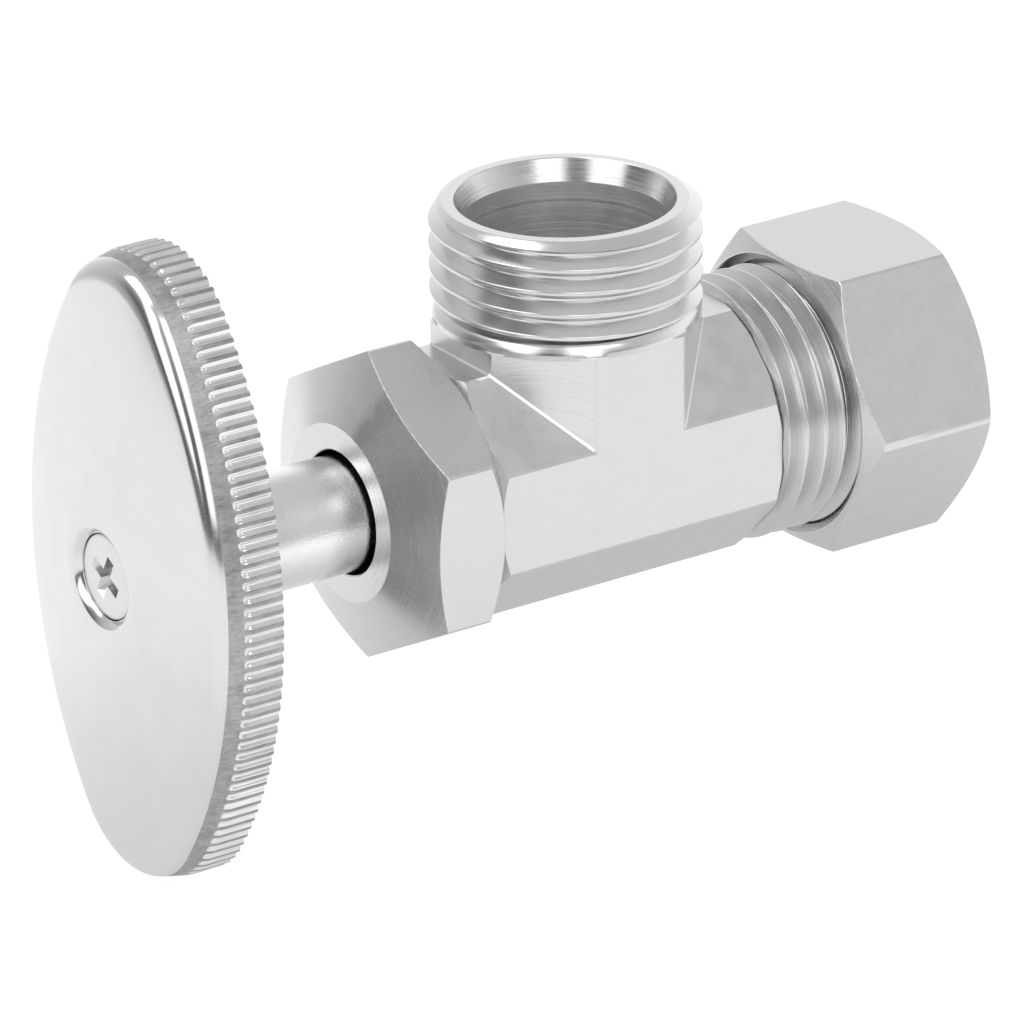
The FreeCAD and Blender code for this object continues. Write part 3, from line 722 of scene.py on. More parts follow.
@dataclass
class Thread:
    """A half-inch pipe thread, cut on a turned blank."""

    major: float = 10.478
    pitch: float = 1.814
    depth: float = 1.162
    crest: float = 0.28
    worn: float = 0.07
    root: float = 0.28
    steps: int = 128
    seam: float = 0.004

    def cut_on(self, name: str, axis: Axis, start: float, end: float, crest_at: float) -> Object:
        """A solid threaded rod between two planes.

        Args:
            name: The piece's name.
            axis: The thread's axis.
            start: Where it starts along the axis.
            end: Where it ends.
            crest_at: Where a crest stands at the turn's start, which is +Z on the run and +X on the outlet.

        Returns:
            The rod, closed by flat ends.
        """
        minor = self.major - self.depth
        flank = (self.pitch - self.crest - self.root) / 2
        first = math.floor((start - crest_at) / self.pitch) - 2
        last = math.ceil((end - crest_at) / self.pitch) + 2
        corners = []
        for order in range(first, last):
            middle = crest_at + order * self.pitch
            low, high = middle - self.crest / 2, middle + self.crest / 2
            corners += [(low - flank, minor), (low, self.major), (high, self.major), (high + flank, minor)]
        piece = drawn(name, [Vector(point_at(axis, *corner)) for corner in corners])
        pick(piece, "verts", lambda corner: len(corner.link_edges) == 2)
        bpy.ops.mesh.bevel(offset=self.worn, segments=3, affect="VERTICES", clamp_overlap=True)
        pick_whole()
        bpy.ops.mesh.spin(steps=self.steps, angle=TURN, use_auto_merge=False, center=(0, 0, 0), axis=axis.way)
        self.climb(piece, axis)
        pick_whole()
        bpy.ops.mesh.remove_doubles(threshold=self.seam)
        for place, normal in ((start, -axis.way), (end, axis.way)):
            pick_whole()
            bpy.ops.mesh.bisect(plane_co=axis.way * place, plane_no=normal, use_fill=True, clear_outer=True)
        close_mesh(0.001)
        return piece

    def climb(self, piece: Object, axis: Axis) -> None:
        """Moves each column of the grooved rod along the axis, so that its grooves climb a pitch a turn.

        Args:
            piece: The open rod, not yet merged at its seam.
            axis: The rod's axis.
        """
        mesh = bmesh.from_edit_mesh(piece.data)
        begin = Vector((0, 0, 1)) if axis is Axis.RUN else Vector((1, 0, 0))
        side = begin.cross(axis.way)
        column = {vertex: round(math.atan2(vertex.co.dot(side), vertex.co.dot(begin)) / TURN * self.steps)
                  % self.steps for vertex in mesh.verts}
        for vertex, order in column.items():
            if order == 0 and any(column[line.other_vert(vertex)] == self.steps - 1
                                  for line in vertex.link_edges):
                order = self.steps
            vertex.co += axis.way * (self.pitch * order / self.steps)
        bmesh.update_edit_mesh(piece.data)


@dataclass
class Body:
    """The forged octagonal body with its two threads and its bores."""

    flats: float = 19.7
    left: float = 12.6
    right: float = 13.2
    neck_top: float = 11.65
    easing: float = 0.13
    facing: float = 0.65
    land: float = 9.5
    around: float = 13.0
    collar_foot: float = 10.3
    collar_head: float = 9.8
    collar_low: float = 11.5
    collar_top: float = 12.6
    top: float = 20.86
    inlet_end: float = 24.2
    chamber: float = 7.2
    chamber_end: float = 8.8
    bonnet_thread: float = 8.05
    seat: float = 5.3
    seat_bore: float = 4.4
    socket: float = 8.1
    socket_cone: float = 9.5
    passage: float = 5.5
    bore: float = 7.88
    mouth: float = 8.55
    outlet_crest: float = 14.55
    inlet_crest: float = 13.75
    thread: Thread = field(default_factory=Thread)
    fresh_thread: Thread = field(default_factory=lambda: Thread(crest=0.18, worn=0.06))

    def build(self) -> Object:
        """Models the body.

        Returns:
            The body's mesh, in millimetres.
        """
        run = self.forging()
        for side, end in ((-1, self.left), (1, self.right)):
            joined(run, turned("facing", Axis.RUN, (
                (side * end, 0), (side * end, 10.0), (side * (end - self.facing), 10.8),
                (side * (end - self.facing), self.around), (side * (end + 2), self.around),
                (side * (end + 2), 0))), Join.CUT)
        for tool, how in ((self.collar, Join.ADD), (self.left_land, Join.ADD), (self.outlet_thread, Join.ADD),
                          (self.inlet_thread, Join.ADD), (self.main_bore, Join.CUT),
                          (self.outlet_bore, Join.CUT)):
            joined(run, tool(), how)
        open_mesh(run)
        pick_whole()
        bpy.ops.mesh.fill_holes(sides=8)
        close_mesh(0.0005)
        return smoothed(run, 18.0)

    def forging(self) -> Object:
        """The octagonal run and neck as one forging with eased edges and mitres.

        Returns:
            The forging.
        """
        run = bar("body_forging", Axis.RUN, 8, self.flats, -self.left - PAST, self.right + PAST)
        joined(run, bar("neck", Axis.OUTLET, 8, self.flats, 0.0, self.neck_top), Join.ADD)
        open_mesh(run)
        pick_whole()
        bpy.ops.mesh.remove_doubles(threshold=0.001)
        bpy.ops.mesh.dissolve_limited(angle_limit=math.radians(1.0))
        low, high = 0.1 - self.left - PAST, self.right + PAST - 0.1
        pick(run, "edges", lambda line: line.calc_face_angle(0) > 0.3
             and not all(end.co.z > self.neck_top - NEAR for end in line.verts)
             and not all(end.co.x < low for end in line.verts)
             and not all(end.co.x > high for end in line.verts))
        bpy.ops.mesh.bevel(offset=self.easing, segments=1, affect="EDGES", clamp_overlap=False)
        half = self.flats / 2
        flat = half * math.tan(math.pi / 8) - self.easing
        facet = flat + self.easing * (1 + math.sqrt(0.5))
        back = half - self.easing * math.sqrt(0.5)
        self.place_corners(run, lambda place: abs(place.y) > half + NEAR,
                           (facet + self.easing * math.sqrt(1.5), back, facet))
        self.place_corners(run, lambda place: abs(place.y) > half - NEAR and 4.1 < place.z < 4.5
                           and abs(place.x) < 5, (flat, half, flat))
        close_mesh(0.0005)
        return run

    def place_corners(self, piece: Object, wanted: Callable[[Vector], bool], place: Point) -> None:
        """Sets the matching corners of the four mitres' tips right.

        Args:
            piece: The open forging.
            wanted: The test on a corner's place.
            place: Where they belong, without signs.
        """
        pick(piece, "verts", lambda corner: wanted(corner.co))
        now = next(corner.co for corner in bmesh.from_edit_mesh(piece.data).verts if corner.select)
        bpy.ops.transform.resize(value=[to / abs(part) for to, part in zip(place, now)],
                                 center_override=(0, 0, 0))

    def collar(self) -> Object:
        """The rounded collar that the outlet's thread stands on.

        Returns:
            The collar.
        """
        low, foot, high = self.collar_low, self.collar_foot, self.collar_top
        return turned("collar", Axis.OUTLET, (
            (9.6, 0), (9.6, 9.2), (low, 9.7), (low, foot - 0.04), (low + 0.04, foot),
            (low + 0.35, foot - 0.02), (low + 0.6, foot - 0.1), (low + 0.82, foot - 0.22),
            (low + 1.0, foot - 0.36), (high, self.collar_head), (high + 0.08, 9.3), (high + 0.08, 0)))

    def left_land(self) -> Object:
        """The turned land that the bonnet seats on.

        Returns:
            The land.
        """
        return turned("land", Axis.RUN, (
            (-self.left - 0.7, 0), (-self.left - 0.7, self.land - 0.1), (-self.left - 0.6, self.land),
            (-self.left + 0.7, self.land), (-self.left + 0.7, 0)))

    def outlet_thread(self) -> Object:
        """The threaded spigot on the outlet, with its lead chamfer.

        Returns:
            The spigot.
        """
        rod = self.thread.cut_on("outlet_thread", Axis.OUTLET, self.collar_low, self.top, self.outlet_crest)
        blank = turned("blank", Axis.OUTLET, (
            (11.0, 0), (11.0, 9.25), (self.collar_top + 0.1, 9.25), (13.2, 10.9), (19.7, 10.9),
            (self.top - 0.72, 10.46), (self.top - 0.2, 9.75), (self.top, 9.45), (self.top, 0)), 0.08)
        return joined(rod, blank, Join.KEEP)

    def inlet_thread(self) -> Object:
        """The threaded spigot on the inlet.

        Returns:
            The spigot.
        """
        rod = self.fresh_thread.cut_on("inlet_thread", Axis.RUN, self.right - 0.7, self.inlet_end,
                                       self.inlet_crest)
        blank = turned("blank", Axis.RUN, (
            (11.9, 0), (11.9, 9.15), (13.1, 9.28), (13.65, 11.0), (23.3, 11.0), (self.inlet_end - 0.7, 10.4),
            (self.inlet_end - 0.05, 9.6), (self.inlet_end - 0.05, 0)))
        return joined(rod, blank, Join.KEEP)

    def main_bore(self) -> Object:
        """The tool for the chamber, the seat and the pipe socket.

        Returns:
            The tool.
        """
        return turned("main_bore", Axis.RUN, (
            (-14.5, 0), (-14.5, self.bonnet_thread), (-8.4, self.bonnet_thread), (-8.4, self.chamber),
            (self.chamber_end, self.chamber), (self.chamber_end, self.seat), (8.0, self.seat),
            (8.0, self.seat_bore), (STOP_PLACE, self.seat_bore), (STOP_PLACE, self.socket),
            (22.0, self.socket), (self.inlet_end, self.socket_cone), (25.5, self.socket_cone),
            (25.5, 0)), steps=96)

    def outlet_bore(self) -> Object:
        """The tool for the outlet's bore, its tapered mouth and the passage under it.

        Returns:
            The tool.
        """
        return turned("outlet_bore", Axis.OUTLET, (
            (0.0, 0), (0.0, self.passage), (8.6, self.passage), (8.6, self.bore),
            (self.top - 1.75, self.bore), (self.top - 0.06, self.mouth - 0.04),
            (self.top + 0.1, self.mouth + 0.14), (self.top + PAST, self.mouth + 0.14), (self.top + PAST, 0)))


@dataclass
class Bonnet:
    """The hexagonal bonnet with its coned front."""

    flats: float = 22.2
    corner: float = 12.75
    spin: float = 32.2
    front: float = -21.0
    back: float = -13.3
    ring: float = 7.0
    cone: float = 2.5
    well: float = 4.91
    well_floor: float = -15.2
    shaft: float = 3.65
    nut_thread: float = 4.8
    thread: float = 8.0
    nose: float = 6.0

    def build(self) -> Object:
        """Models the bonnet.

        Returns:
            The bonnet's mesh, in millimetres.
        """
        hexagon = bar("bonnet_shell", Axis.RUN, 6, self.flats, self.front, self.back, self.spin, 0.12)
        envelope = turned("envelope", Axis.RUN, (
            (self.front, 0), (self.front, self.ring), (self.front + self.cone, self.corner),
            (self.back - 1.3, self.corner), (self.back, 11.0), (self.back, 0)), steps=192)
        eased(joined(hexagon, envelope, Join.KEEP), 0.06)
        joined(hexagon, turned("spigot", Axis.RUN, (
            (-17.0, 0), (-17.0, self.thread), (-9.4, self.thread), (-9.4, self.nose), (-0.8, self.nose),
            (-0.8, 0)), 0.05), Join.ADD)
        joined(hexagon, turned("bore", Axis.RUN, (
            (self.front - PAST, 0), (self.front - PAST, self.well + 0.16), (self.front, self.well + 0.11),
            (self.front + 0.09, self.well), (self.well_floor, self.well), (self.well_floor, self.shaft),
            (-8.9, self.shaft), (-8.9, self.nut_thread), (0.2, self.nut_thread), (0.2, 0))), Join.CUT)
        return smoothed(hexagon, 18.0)


@dataclass
class Nut:
    """The compression nut."""

    flats: float = 23.0
    corner: float = 13.2
    spin: float = 2.1
    front: float = 19.7
    back: float = 31.9
    bevel: float = 1.1
    face: float = 11.35
    worn: float = 13.02
    thread: float = 10.53
    thread_end: float = 28.8
    pipe: float = 8.3

    def build(self) -> Object:
        """Models the nut.

        Returns:
            The nut's mesh, in millimetres.
        """
        hexagon = bar("compression_nut_shell", Axis.RUN, 6, self.flats, self.front, self.back, self.spin, 0.1)
        corner = Matrix.Rotation(math.radians(self.spin), 3, "X") @ Vector((0, -1, 0))
        open_mesh(hexagon)
        pick_whole()
        bpy.ops.mesh.bisect(plane_co=corner * self.worn, plane_no=corner, use_fill=True, clear_outer=True)
        close_mesh()
        envelope = turned("envelope", Axis.RUN, (
            (self.front, 0), (self.front, self.face), (self.front + self.bevel, self.corner),
            (self.back - self.bevel, self.corner), (self.back, self.face), (self.back, 0)), 0.1, steps=192)
        eased(joined(hexagon, envelope, Join.KEEP), 0.05)
        joined(hexagon, turned("bore", Axis.RUN, (
            (self.front - PAST, 0), (self.front - PAST, self.thread + 0.7), (self.front, self.thread + 0.7),
            (self.front + 0.75, self.thread), (self.thread_end, self.thread), (self.thread_end, self.pipe),
            (33.0, self.pipe), (33.0, 0))), Join.CUT)
        return smoothed(hexagon, 28.0)


@dataclass
class Handle:
    """The cast oval handle: fluted rim, flare, rolled edge, domed face and hub."""

    half_long: float = 25.15
    half_short: float = 13.85
    end_radius: float = 8.45
    peak: float = -42.31
    flutes: int = 120
    columns: int = 12
    coarse: int = 4
    flutes_cut: tuple[tuple[float, float, float, str], ...] = (
        (-37.94, 0.24, 0.42, "SMOOTH"), (-37.55, 0.16, 0.42, "SMOOTH"), (-37.0, 0.08, 0.42, "LINEAR"))
    sink: float = 3.95
    recess: float = 3.38
    recess_floor: float = -40.2
    screw_hole: float = 1.9
    hollow_floor: float = -38.27
    hub: float = 4.55
    hub_end: float = -20.0
    stem_hole: float = 3.25
    stem_floor: float = -38.6
    dull_painted_dark_front: float = -39.6
    dull_painted_dark_depth: float = 0.012
    side: tuple[Corner, ...] = (
        (-36.6, -2.2), (-34.97, -2.2), (-34.87, -2.1), (-34.87, -0.12), (-34.95, 0.0), (-35.3, 0.0),
        (-35.7, 0.0), (-36.1, 0.0), (-36.5, 0.0), (-36.8, 0.0), (-37.0, 0.0), (-37.2, 0.0), (-37.4, 0.0),
        (-37.55, 0.0),
        (-37.7, -0.01), (-37.82, -0.03), (-37.94, -0.06), (-38.06, -0.09), (-38.18, -0.12), (-38.3, -0.15),
        (-38.42, -0.175), (-38.8, -0.25), (-39.2, -0.34))
    roll_place: Corner = (-39.307, -1.799)
    roll: float = 1.4
    roll_turns: tuple[float, ...] = (80.0, 74.0, 68.0, 62.0, 56.0, 50.0, 44.0, 38.0, 32.0, 26.0, 20.0, 14.5)
    dome: tuple[float, ...] = (0.97, 0.92, 0.85, 0.75, 0.65, 0.55, 0.45)

    @property
    def section(self) -> tuple[Corner, ...]:
        """The rim's section as (along, out): hollow side, rear, outside, flare and rolled edge."""
        along, out = self.roll_place
        edge = tuple((along - self.roll * math.cos(math.radians(turn)),
                      out + self.roll * math.sin(math.radians(turn))) for turn in self.roll_turns)
        return self.side + edge

    def arcs(self) -> list[tuple[float, float, float, float, float]]:
        """The oval's quarter arcs.

        Returns:
            Centre along the short and the long axis, radius, first and last angle of each arc.
        """
        end_place = self.half_long - self.end_radius
        side = (end_place ** 2 + self.half_short ** 2 - self.end_radius ** 2) / (
            2 * (self.half_short - self.end_radius))
        lean = math.atan2(end_place, side - self.half_short)
        found = []
        for quarter in range(4):
            along = 1 if quarter in (0, 3) else -1
            up = 1 if quarter < 2 else -1
            side_arc = (-along * (side - self.half_short), 0.0, side)
            end_arc = (0.0, up * end_place, self.end_radius)
            base = quarter * math.pi / 2
            if quarter % 2 == 0:
                found.append((*side_arc, base, base + lean))
                found.append((*end_arc, base + lean, base + math.pi / 2))
            else:
                found.append((*end_arc, base, base + math.pi / 2 - lean))
                found.append((*side_arc, base + math.pi / 2 - lean, base + math.pi / 2))
        return found

    def guide(self) -> Object:
        """The oval as a closed curve that the rim is bent along.

        Returns:
            The curve.
        """
        put_down()
        bpy.ops.curve.primitive_bezier_circle_add(radius=1)
        curve = bpy.context.object
        bpy.ops.object.mode_set(mode="EDIT")
        bpy.ops.curve.select_all(action="SELECT")
        bpy.ops.curve.subdivide(number_cuts=1)
        put_down()
        curve.data.dimensions = "2D"
        curve.data.resolution_u = 64
        arcs = self.arcs()
        for order, knot in enumerate(curve.data.splines[0].bezier_points):
            across, up, radius, first, last = arcs[order]
            before = arcs[order - 1]
            place = Vector((across + radius * math.cos(first), up + radius * math.sin(first), 0))
            way = Vector((-math.sin(first), math.cos(first), 0))
            knot.handle_left_type = "FREE"
            knot.handle_right_type = "FREE"
            knot.co = place
            knot.handle_right = place + way * (4 / 3 * math.tan((last - first) / 4) * radius)
            knot.handle_left = place - way * (4 / 3 * math.tan((before[4] - before[3]) / 4) * before[2])
        return curve

    def rim(self) -> Object:
        """One flute's width of the rim, shaped, repeated and bent round the oval.

        Returns:
            The rim, open at its back and front, with its own Z along the valve's X.
        """
        pitch = sum(radius * (last - first) for _, _, radius, first, last in self.arcs()) / self.flutes
        step, middle = pitch / self.columns, pitch / 2
        kept = self.columns // self.coarse
        piece = drawn("handle_shell", [Vector((0, out, along)) for along, out in self.section])
        pick_whole()
        for _ in range(self.columns):
            bpy.ops.mesh.extrude_region_move(TRANSFORM_OT_translate={"value": (step, 0, 0)})
        for front, depth, reach, shape in self.flutes_cut:
            pick(piece, "verts", lambda corner: abs(corner.co.x - middle) < NEAR and abs(corner.co.y) < 0.2
                 and corner.co.z > front - NEAR)
            bpy.ops.transform.translate(value=(0, -depth, 0), use_proportional_edit=True,
                                        proportional_edit_falloff=shape, proportional_size=reach)
        self.part_finishes(piece)
        pick(piece, "edges", lambda line: abs(line.verts[0].co.x - line.verts[1].co.x) < NEAR
             and round(line.verts[0].co.x / step) % kept
             and (max(end.co.z for end in line.verts) < -38.5 or max(end.co.y for end in line.verts) < -1.9
                  and min(end.co.z for end in line.verts) > -36.7))
        bpy.ops.mesh.dissolve_edges(use_verts=True)
        applied(piece, "ARRAY", use_relative_offset=False, use_constant_offset=True,
                constant_offset_displace=(pitch, 0, 0), count=self.flutes, use_merge_vertices=True,
                merge_threshold=0.001)
        guide = self.guide()
        applied(piece, "CURVE", object=guide, deform_axis="POS_X")
        bpy.data.objects.remove(guide)
        open_mesh(piece)
        pick_whole()
        bpy.ops.mesh.remove_doubles(threshold=0.01)
        put_down()
        return piece

    def part_finishes(self, piece: Object) -> None:
        """Marks the strip's dull, brushed outside, whose colour is darkened as painted shade, and its grooves,
        whose colour is brightened as a painted highlight.

        Args:
            piece: The open strip.
        """
        outline = [corner for corner in sorted(self.side) if corner[1] > -1.0]
        for side in bmesh.from_edit_mesh(piece.data).faces:
            along, out = side.calc_center_median().z, side.calc_center_median().y
            if along < self.dull_painted_dark_front or out < -1.0:
                continue
            after = next((order for order, corner in enumerate(outline) if corner[0] > along),
                         len(outline) - 1)
            (low, low_out), (high, high_out) = outline[max(after - 1, 0)], outline[max(after, 1)]
            whole = low_out + (high_out - low_out) * (along - low) / max(high - low, 0.001)
            side.material_index = HANDLE_FINISHES.index(DULL_PAINTED_DARK if out > whole - self.dull_painted_dark_depth else GROOVE_PAINTED_BRIGHT)
        bmesh.update_edit_mesh(piece.data)

    def ring_reach(self, piece: Object) -> Point:
        """The selected ring's reach.

        Args:
            piece: The open piece.

        Returns:
            Place along the axis, half width and half length.
        """
        chosen = [vertex.co for vertex in bmesh.from_edit_mesh(piece.data).verts if vertex.select]
        return (sum(place.z for place in chosen) / len(chosen), max(abs(place.x) for place in chosen),
                max(abs(place.y) for place in chosen))

    def rings(self, piece: Object, start: float, steps: Sequence[Sequence[float]]) -> None:
        """Draws the open ring at one end of the rim through several places.

        Args:
            piece: The open piece.
            start: The end's place along the axis.
            steps: Place along the axis, half width and half length of each ring. Round ones have no length.
        """
        pick(piece, "edges", lambda line: line.is_boundary
             and all(abs(end.co.z - start) < NEAR for end in line.verts))
        for place, half_width, *half_length in steps:
            now, wide, tall = self.ring_reach(piece)
            bpy.ops.mesh.extrude_region_move(TRANSFORM_OT_translate={"value": (0, 0, place - now)})
            bpy.ops.transform.resize(value=(half_width / wide, (half_length or [half_width])[0] / tall, 1),
                                     center_override=(0, 0, 0))
            if not half_length:
                bpy.ops.transform.tosphere(value=1.0, center_override=(0, 0, place))
                wide = self.ring_reach(piece)[1]
                bpy.ops.transform.resize(value=(half_width / wide, half_width / wide, 1),
                                         center_override=(0, 0, 0))

    def build(self) -> Object:
        """Models the handle.

        Returns:
            The handle's mesh, in millimetres.
        """
        piece = self.rim()
        open_mesh(piece, "EDGE")
        front, out = self.section[-1]
        rise = front - self.peak
        lip = self.sink + 0.07
        self.rings(piece, front, (
            *((front - rise * (1 - share ** 2), (self.half_short + out) * share,
               (self.half_long + out) * share) for share in self.dome),
            (self.peak + 0.03, lip + 0.7, lip + 1.2), (self.peak, lip), (self.peak + 0.02, self.sink),
            (self.peak + 0.48, self.recess + 0.02), (self.peak + 0.53, self.recess),
            (self.recess_floor - 0.1, self.recess), (self.recess_floor, self.recess - 0.1),
            (self.recess_floor, self.screw_hole)))
        back, out = self.section[0]
        wide, tall = self.half_short + out, self.half_long + out
        floor, end = self.hollow_floor, self.hub_end
        self.rings(piece, back, (
            (floor + 0.5, wide, tall), (floor + 0.1, wide - 0.15, tall - 0.15),
            (floor, wide - 0.5, tall - 0.5), (floor, wide * 0.75, tall * 0.65), (floor, 6.4, 7.5), (floor, 5.4),
            (floor + 0.3, 4.75),
            (floor + 1.0, self.hub), (-30.0, self.hub), (-25.0, self.hub), (end - 0.3, self.hub),
            (end - 0.08, self.hub - 0.1), (end, self.hub - 0.3), (end, self.stem_hole + 0.1),
            (end - 0.1, self.stem_hole), (-29.0, self.stem_hole), (self.stem_floor, self.stem_hole),
            (self.stem_floor, self.screw_hole)))
        pick(piece, "edges", lambda line: line.is_boundary)
        bpy.ops.mesh.bridge_edge_loops()
        close_mesh(0.001)
        take_up(piece)
        piece.rotation_euler = (math.pi / 2, 0, math.pi / 2)
        bpy.ops.object.transform_apply()
        return smoothed(piece, 40.0, level=False)


@dataclass
class HandleScrew:
    """The cross-recessed screw in the handle's face."""

    head: float = 3.3
    top: float = -41.87
    seat: float = -40.22
    shank: float = 1.75
    shank_end: float = -31.2
    arm: float = 1.1
    span: float = 5.0
    depth: float = 1.1
    turn: float = 27.0

    def build(self) -> Object:
        """Models the screw.

        Returns:
            The screw's mesh, in millimetres.
        """
        screw = turned("handle_screw_shell", Axis.RUN, (
            (self.top, 0), (self.top, self.head - 1.3), (self.top + 0.03, self.head - 0.4),
            (self.top + 0.15, self.head), (self.seat, self.head), (self.seat, self.shank),
            (self.shank_end, self.shank), (self.shank_end, 0)), 0.06, steps=96)
        for spin in (self.turn, self.turn - 90):
            put_down()
            bpy.ops.mesh.primitive_cube_add(size=1, location=(self.top, 0, 0))
            arm = named("arm")
            open_mesh(arm, "FACE")
            pick_whole()
            bpy.ops.transform.resize(value=(2 * self.depth, self.arm, self.span))
            pick(arm, "faces", lambda side: side.normal.x > 0.9)
            bpy.ops.transform.resize(value=(1, 0.7, 0.45))
            take_up(arm)
            arm.rotation_euler = (math.radians(spin), 0, 0)
            bpy.ops.object.transform_apply()
            joined(screw, arm, Join.CUT)
        return smoothed(eased(screw, 0.05, 35.0), 30.0)


# ---------------------------------------------------------------- studio


@dataclass
class Studio:
    """Floor, light and camera."""

    floor: float = -0.0252
    lens: float = 302.55
    azimuth: float = 33.819
    elevation: float = 23.03
    roll: float = -0.897
    place: Point = (-0.35681, -0.50589, 0.25498)
    walls: tuple[Corner, ...] = (
        (0.0, 0.95), (0.1, 0.7), (0.2, 0.5), (0.25, 0.15), (0.33, 0.1), (0.59, 0.12), (0.61, 0.42),
        (0.65, 0.45), (0.7, 0.6), (0.75, 0.75), (0.8, 0.95), (1.0, 0.95))
    ceiling: tuple[Corner, ...] = ((0.0, 0.5), (0.8, 0.5), (1.0, 0.5))
    panels: tuple[tuple[float, float, float, float, float], ...] = (
        (-3.0, 35.0, -0.12, 0.88, 1.5), (32.0, 55.0, 0.48, 0.88, 1.5), (-69.0, -24.0, -0.16, 0.8, 1.5))
    panel_side: float = 5.0
    panel_rise: float = 0.06
    brightness: float = 1.24
    glow: float = 1.08
    near_glow: tuple[float, float, float, float] = (0.012, 0.05, 0.74, 1.24)
    glow_seen: float = 0.88
    glow_mirrored: float = 0.7

    def camera(self) -> None:
        """Sets the camera at the photograph's viewing angle."""
        turn, rise, roll = (math.radians(angle) for angle in (self.azimuth, self.elevation, self.roll))
        ahead = Vector((math.cos(rise) * math.sin(turn), math.cos(rise) * math.cos(turn), -math.sin(rise)))
        right = Vector((math.cos(turn), -math.sin(turn), 0))
        up = right.cross(ahead)
        right, up = math.cos(roll) * right + math.sin(roll) * up, math.cos(roll) * up - math.sin(roll) * right
        lens = bpy.data.cameras.new("camera")
        lens.lens = self.lens
        lens.sensor_width = 36.0
        lens.clip_start = 0.01
        lens.clip_end = 20.0
        camera = bpy.data.objects.new("camera", lens)
        bpy.context.scene.collection.objects.link(camera)
        aim = Matrix((right, up, -ahead)).transposed().to_4x4()
        camera.matrix_world = Matrix.Translation(self.place) @ aim
        bpy.context.scene.camera = camera

    def ground(self) -> None:
        """Lays the pale floor. In reflections it is dimmer near the part, as if shaded by it."""
        put_down()
        bpy.ops.mesh.primitive_plane_add(size=0.4, location=(-0.01, 0, self.floor))
        floor = named("floor")
        bpy.ops.object.transform_apply()
        made, sheet, place = new_material("pale_floor")
        rays = sheet.node("ShaderNodeLightPath", {}).outputs
        seen = sheet.sum("MAXIMUM", rays["Is Camera Ray"], rays["Is Transmission Ray"])
        along, across, _ = sheet.split(place)
        away = sheet.sum("SQRT", sheet.sum("ADD", sheet.sum("POWER", across, 2.0),
                                           sheet.sum("MULTIPLY", sheet.sum("POWER", along, 2.0), 0.2)))
        dim = sheet.sum("SUBTRACT", sheet.spread(away, *self.near_glow), self.glow)
        paint = sheet.node("ShaderNodeBsdfDiffuse", {"Color": (0.9, 0.9, 0.9, 1)})
        strength = sheet.sum("MULTIPLY_ADD", rays["Is Glossy Ray"], dim, self.glow)
        glow = sheet.node("ShaderNodeEmission", {"Color": (1, 1, 1, 1), "Strength": strength})
        share = sheet.sum("MAXIMUM", sheet.sum("MULTIPLY", seen, self.glow_seen),
                          sheet.sum("MULTIPLY", rays["Is Glossy Ray"], self.glow_mirrored))
        mix = sheet.node("ShaderNodeMixShader", {0: share, 1: paint.outputs[0], 2: glow.outputs[0]})
        sheet.node("ShaderNodeOutputMaterial", {0: mix.outputs[0]})
        floor.data.materials.append(made)

    def world(self) -> None:
        """Surrounds the part with a room of grey walls and soft bright panels.

        Walls are tones by the share of the turn, 0.5 towards the camera. Panels go by degrees to the right
        of that, and by the sine of their height.
        """
        world = bpy.data.worlds.new("studio")
        bpy.context.scene.world = world
        world.use_nodes = True
        sheet = Sheet(world.node_tree)
        way = sheet.node("ShaderNodeTexCoord", {}).outputs["Generated"]
        ahead, side, rise = sheet.split(sheet.stretch(
            way, rotation=(0, 0, math.pi + math.radians(self.azimuth))))
        round_room = sheet.sum("MULTIPLY_ADD", sheet.sum("ARCTAN2", ahead, side), -1 / TURN, 0.5)
        tone = sheet.node("ShaderNodeMix", {
            0: sheet.spread(rise, 0.25, 0.8, 0.0, 1.0, "SMOOTHSTEP"), 6: sheet.tones(round_room, self.walls),
            7: sheet.tones(rise, self.ceiling)}, data_type="RGBA")
        panels = 0.0
        for left, right, bottom, top, strength in self.panels:
            across = sheet.tones(round_room, [(0.5 + degrees / 360, tone_there) for degrees, tone_there in (
                (left, 0.0), (left + self.panel_side, 1.0), (right - self.panel_side, 1.0), (right, 0.0))])
            above = sheet.tones(rise, ((bottom, 0.0), (bottom + self.panel_rise, 1.0),
                                       (top - self.panel_rise, 1.0), (top, 0.0)))
            panels = sheet.sum("MULTIPLY_ADD", sheet.sum("MULTIPLY", across, above), strength, panels)
        rays = sheet.node("ShaderNodeLightPath", {}).outputs
        seen = sheet.sum("MAXIMUM", rays["Is Camera Ray"], rays["Is Transmission Ray"])
        room = sheet.node("ShaderNodeBackground", {"Color": tone.outputs[2], "Strength": self.brightness})
        light = sheet.node("ShaderNodeBackground", {"Color": (1, 1, 1, 1), "Strength": panels})
        lit_room = sheet.node("ShaderNodeAddShader", {0: room.outputs[0], 1: light.outputs[0]})
        white = sheet.node("ShaderNodeBackground", {"Color": (1, 1, 1, 1)})
        mix = sheet.node("ShaderNodeMixShader", {0: seen, 1: lit_room.outputs[0], 2: white.outputs[0]})
        sheet.node("ShaderNodeOutputWorld", {0: mix.outputs[0]})

    def lamp(self, name: str, place: Point, size: float, power: float) -> None:
        """Hangs a soft square lamp that faces the part.

        Args:
            name: The lamp's name.
            place: Where it hangs, in metres.
            size: Its side, in metres.
            power: Its power in watts.
        """
        light = bpy.data.lights.new(name, "AREA")
        light.size = size
        light.energy = power
        lamp = bpy.data.objects.new(name, light)
        bpy.context.scene.collection.objects.link(lamp)
        lamp.location = place
        lamp.rotation_euler = (-Vector(place)).to_track_quat("-Z", "Y").to_euler()

    def build(self) -> None:
        """Sets up the camera, the floor and the light."""
        self.camera()
        self.ground()
        self.world()
        self.lamp("key_lamp", (-0.5, 0.2, 0.9), 0.7, 3.0)
        bpy.context.scene.view_settings.view_transform = "Standard"


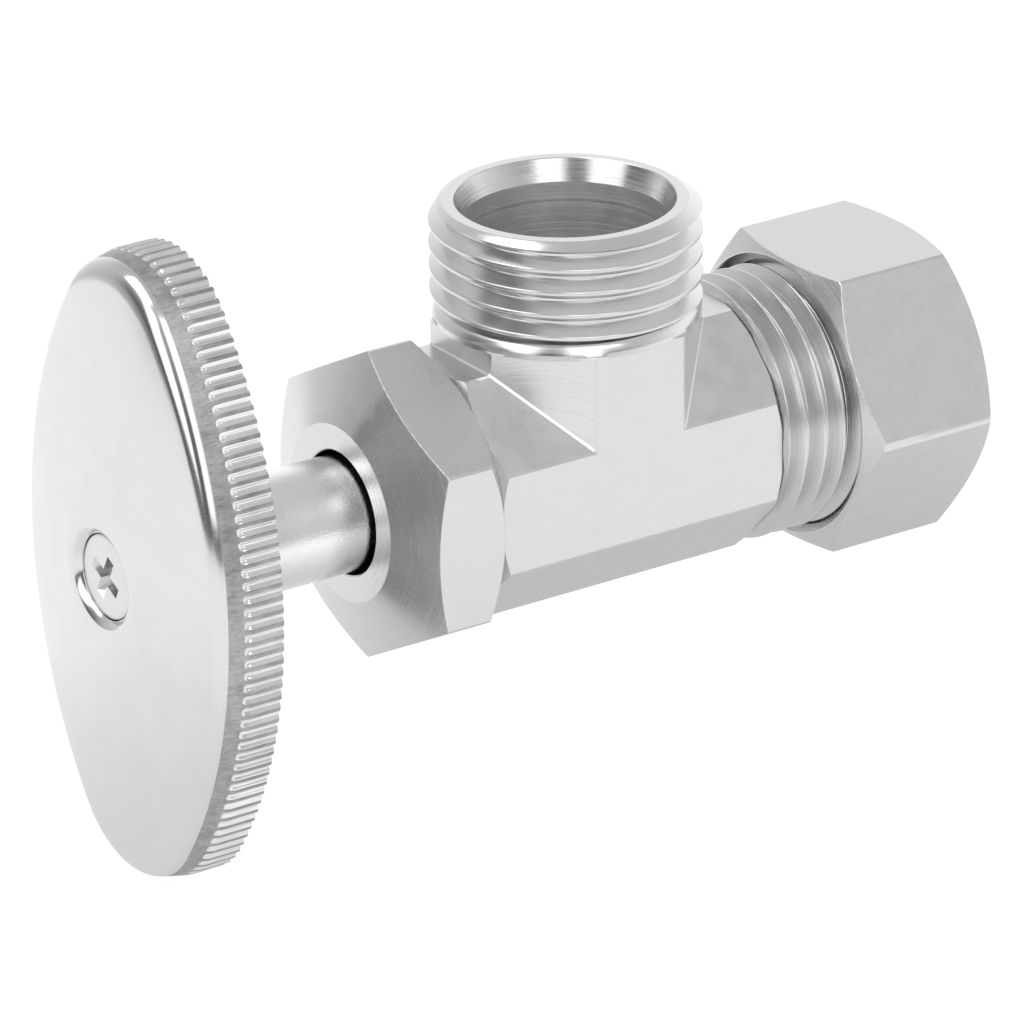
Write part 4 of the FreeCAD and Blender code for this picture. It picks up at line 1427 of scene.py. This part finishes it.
# ---------------------------------------------------------------- dressing


def faces_between(piece: Object, material: Material, wanted: Callable[[Vector, Vector], bool]) -> None:
    """Gives the faces that pass a test another of the piece's materials.

    Args:
        piece: The settled and dressed piece.
        material: The material.
        wanted: The test on a face's middle, in millimetres from the crossing, and its normal.
    """
    shift = Vector((STOP_PLACE, 0, 0))
    slot = piece.data.materials.find(material.name)
    for side in piece.data.polygons:
        if wanted(side.center / MM + shift, side.normal):
            side.material_index = slot


def dress(piece: Object, *materials: Material) -> None:
    """Gives a piece its materials. Clearing old ones would also reset its faces' slots.

    Args:
        piece: The piece.
        materials: The materials, in the order of its slots.
    """
    if piece.data.materials:
        piece.data.materials.clear()
    for material in materials:
        piece.data.materials.append(material)


def main() -> None:
    """Builds the studio, the pieces and their finishes."""
    logging.basicConfig(level=logging.INFO, format="%(name)s %(message)s")
    Studio().build()
    groups = {"forged_skin": forged_skin(), "tool_marks": tool_marks(), "brushed": brushed()}
    finish = {kind: kind.material(groups) for kind in FINISHES}

    body = settle(Body().build(), "valve", "body_chrome", "valve_body")
    dress(body, finish[FORGED], finish[THREADED], finish[OUTLET_THREADED], finish[BORED])
    faces_between(body, finish[THREADED], lambda middle, normal: middle.x > 12.95 or middle.x < -12.55)
    faces_between(body, finish[OUTLET_THREADED], lambda middle, normal: middle.z > 11.15
                  or (middle.z > 8 and middle.xy.length < 9.0))
    faces_between(body, finish[BORED], lambda middle, normal: middle.z > 4 and middle.xy.length < 7.95
                  and abs(normal.z) < 0.2)

    bonnet = settle(Bonnet().build(), "valve", "bonnet_chrome", "bonnet")
    dress(bonnet, finish[BAR], finish[TURNED])
    faces_between(bonnet, finish[TURNED], lambda middle, normal: abs(normal.x) > 0.5
                  or middle.yz.length < 9.0)

    nut = settle(Nut().build(), "nut", "nut_chrome", "compression_nut")
    dress(nut, finish[BAR], finish[TURNED])
    faces_between(nut, finish[TURNED], lambda middle, normal: abs(normal.x) > 0.3 or middle.yz.length < 11.2)

    handle = settle(Handle().build(), "spindle", "handle_chrome", "handle")
    dress(handle, *(finish[kind] for kind in HANDLE_FINISHES))
    faces_between(handle, finish[CAST], lambda middle, normal: middle.x > -38.3 and middle.yz.length < 4.9)
    faces_between(handle, finish[HOLLOW], lambda middle, normal: -38.4 < middle.x < -35.0
                  and middle.yz.length > 4.9 and (normal.x > 0.5 or normal.yz.dot(middle.yz) < -1.0))

    screw = settle(HandleScrew().build(), "spindle", "screw_nickel", "handle_screw")
    dress(screw, finish[NICKEL])

    inner = {"stem": BRASS, "jumper": BRASS, "washer_screw": BRASS, "compression_ferrule": BRASS,
             "stem_ring_outer": RUBBER, "stem_ring_inner": RUBBER, "seat_washer": RUBBER, "slip_washer": SLIP,
             "bonnet_gasket": FIBRE}
    for node, kind in inner.items():
        dress(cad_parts[node], finish[kind])
        log.info("%s: %s", node, kind.name)

    put_down()


if __name__ == "__main__":
    main()
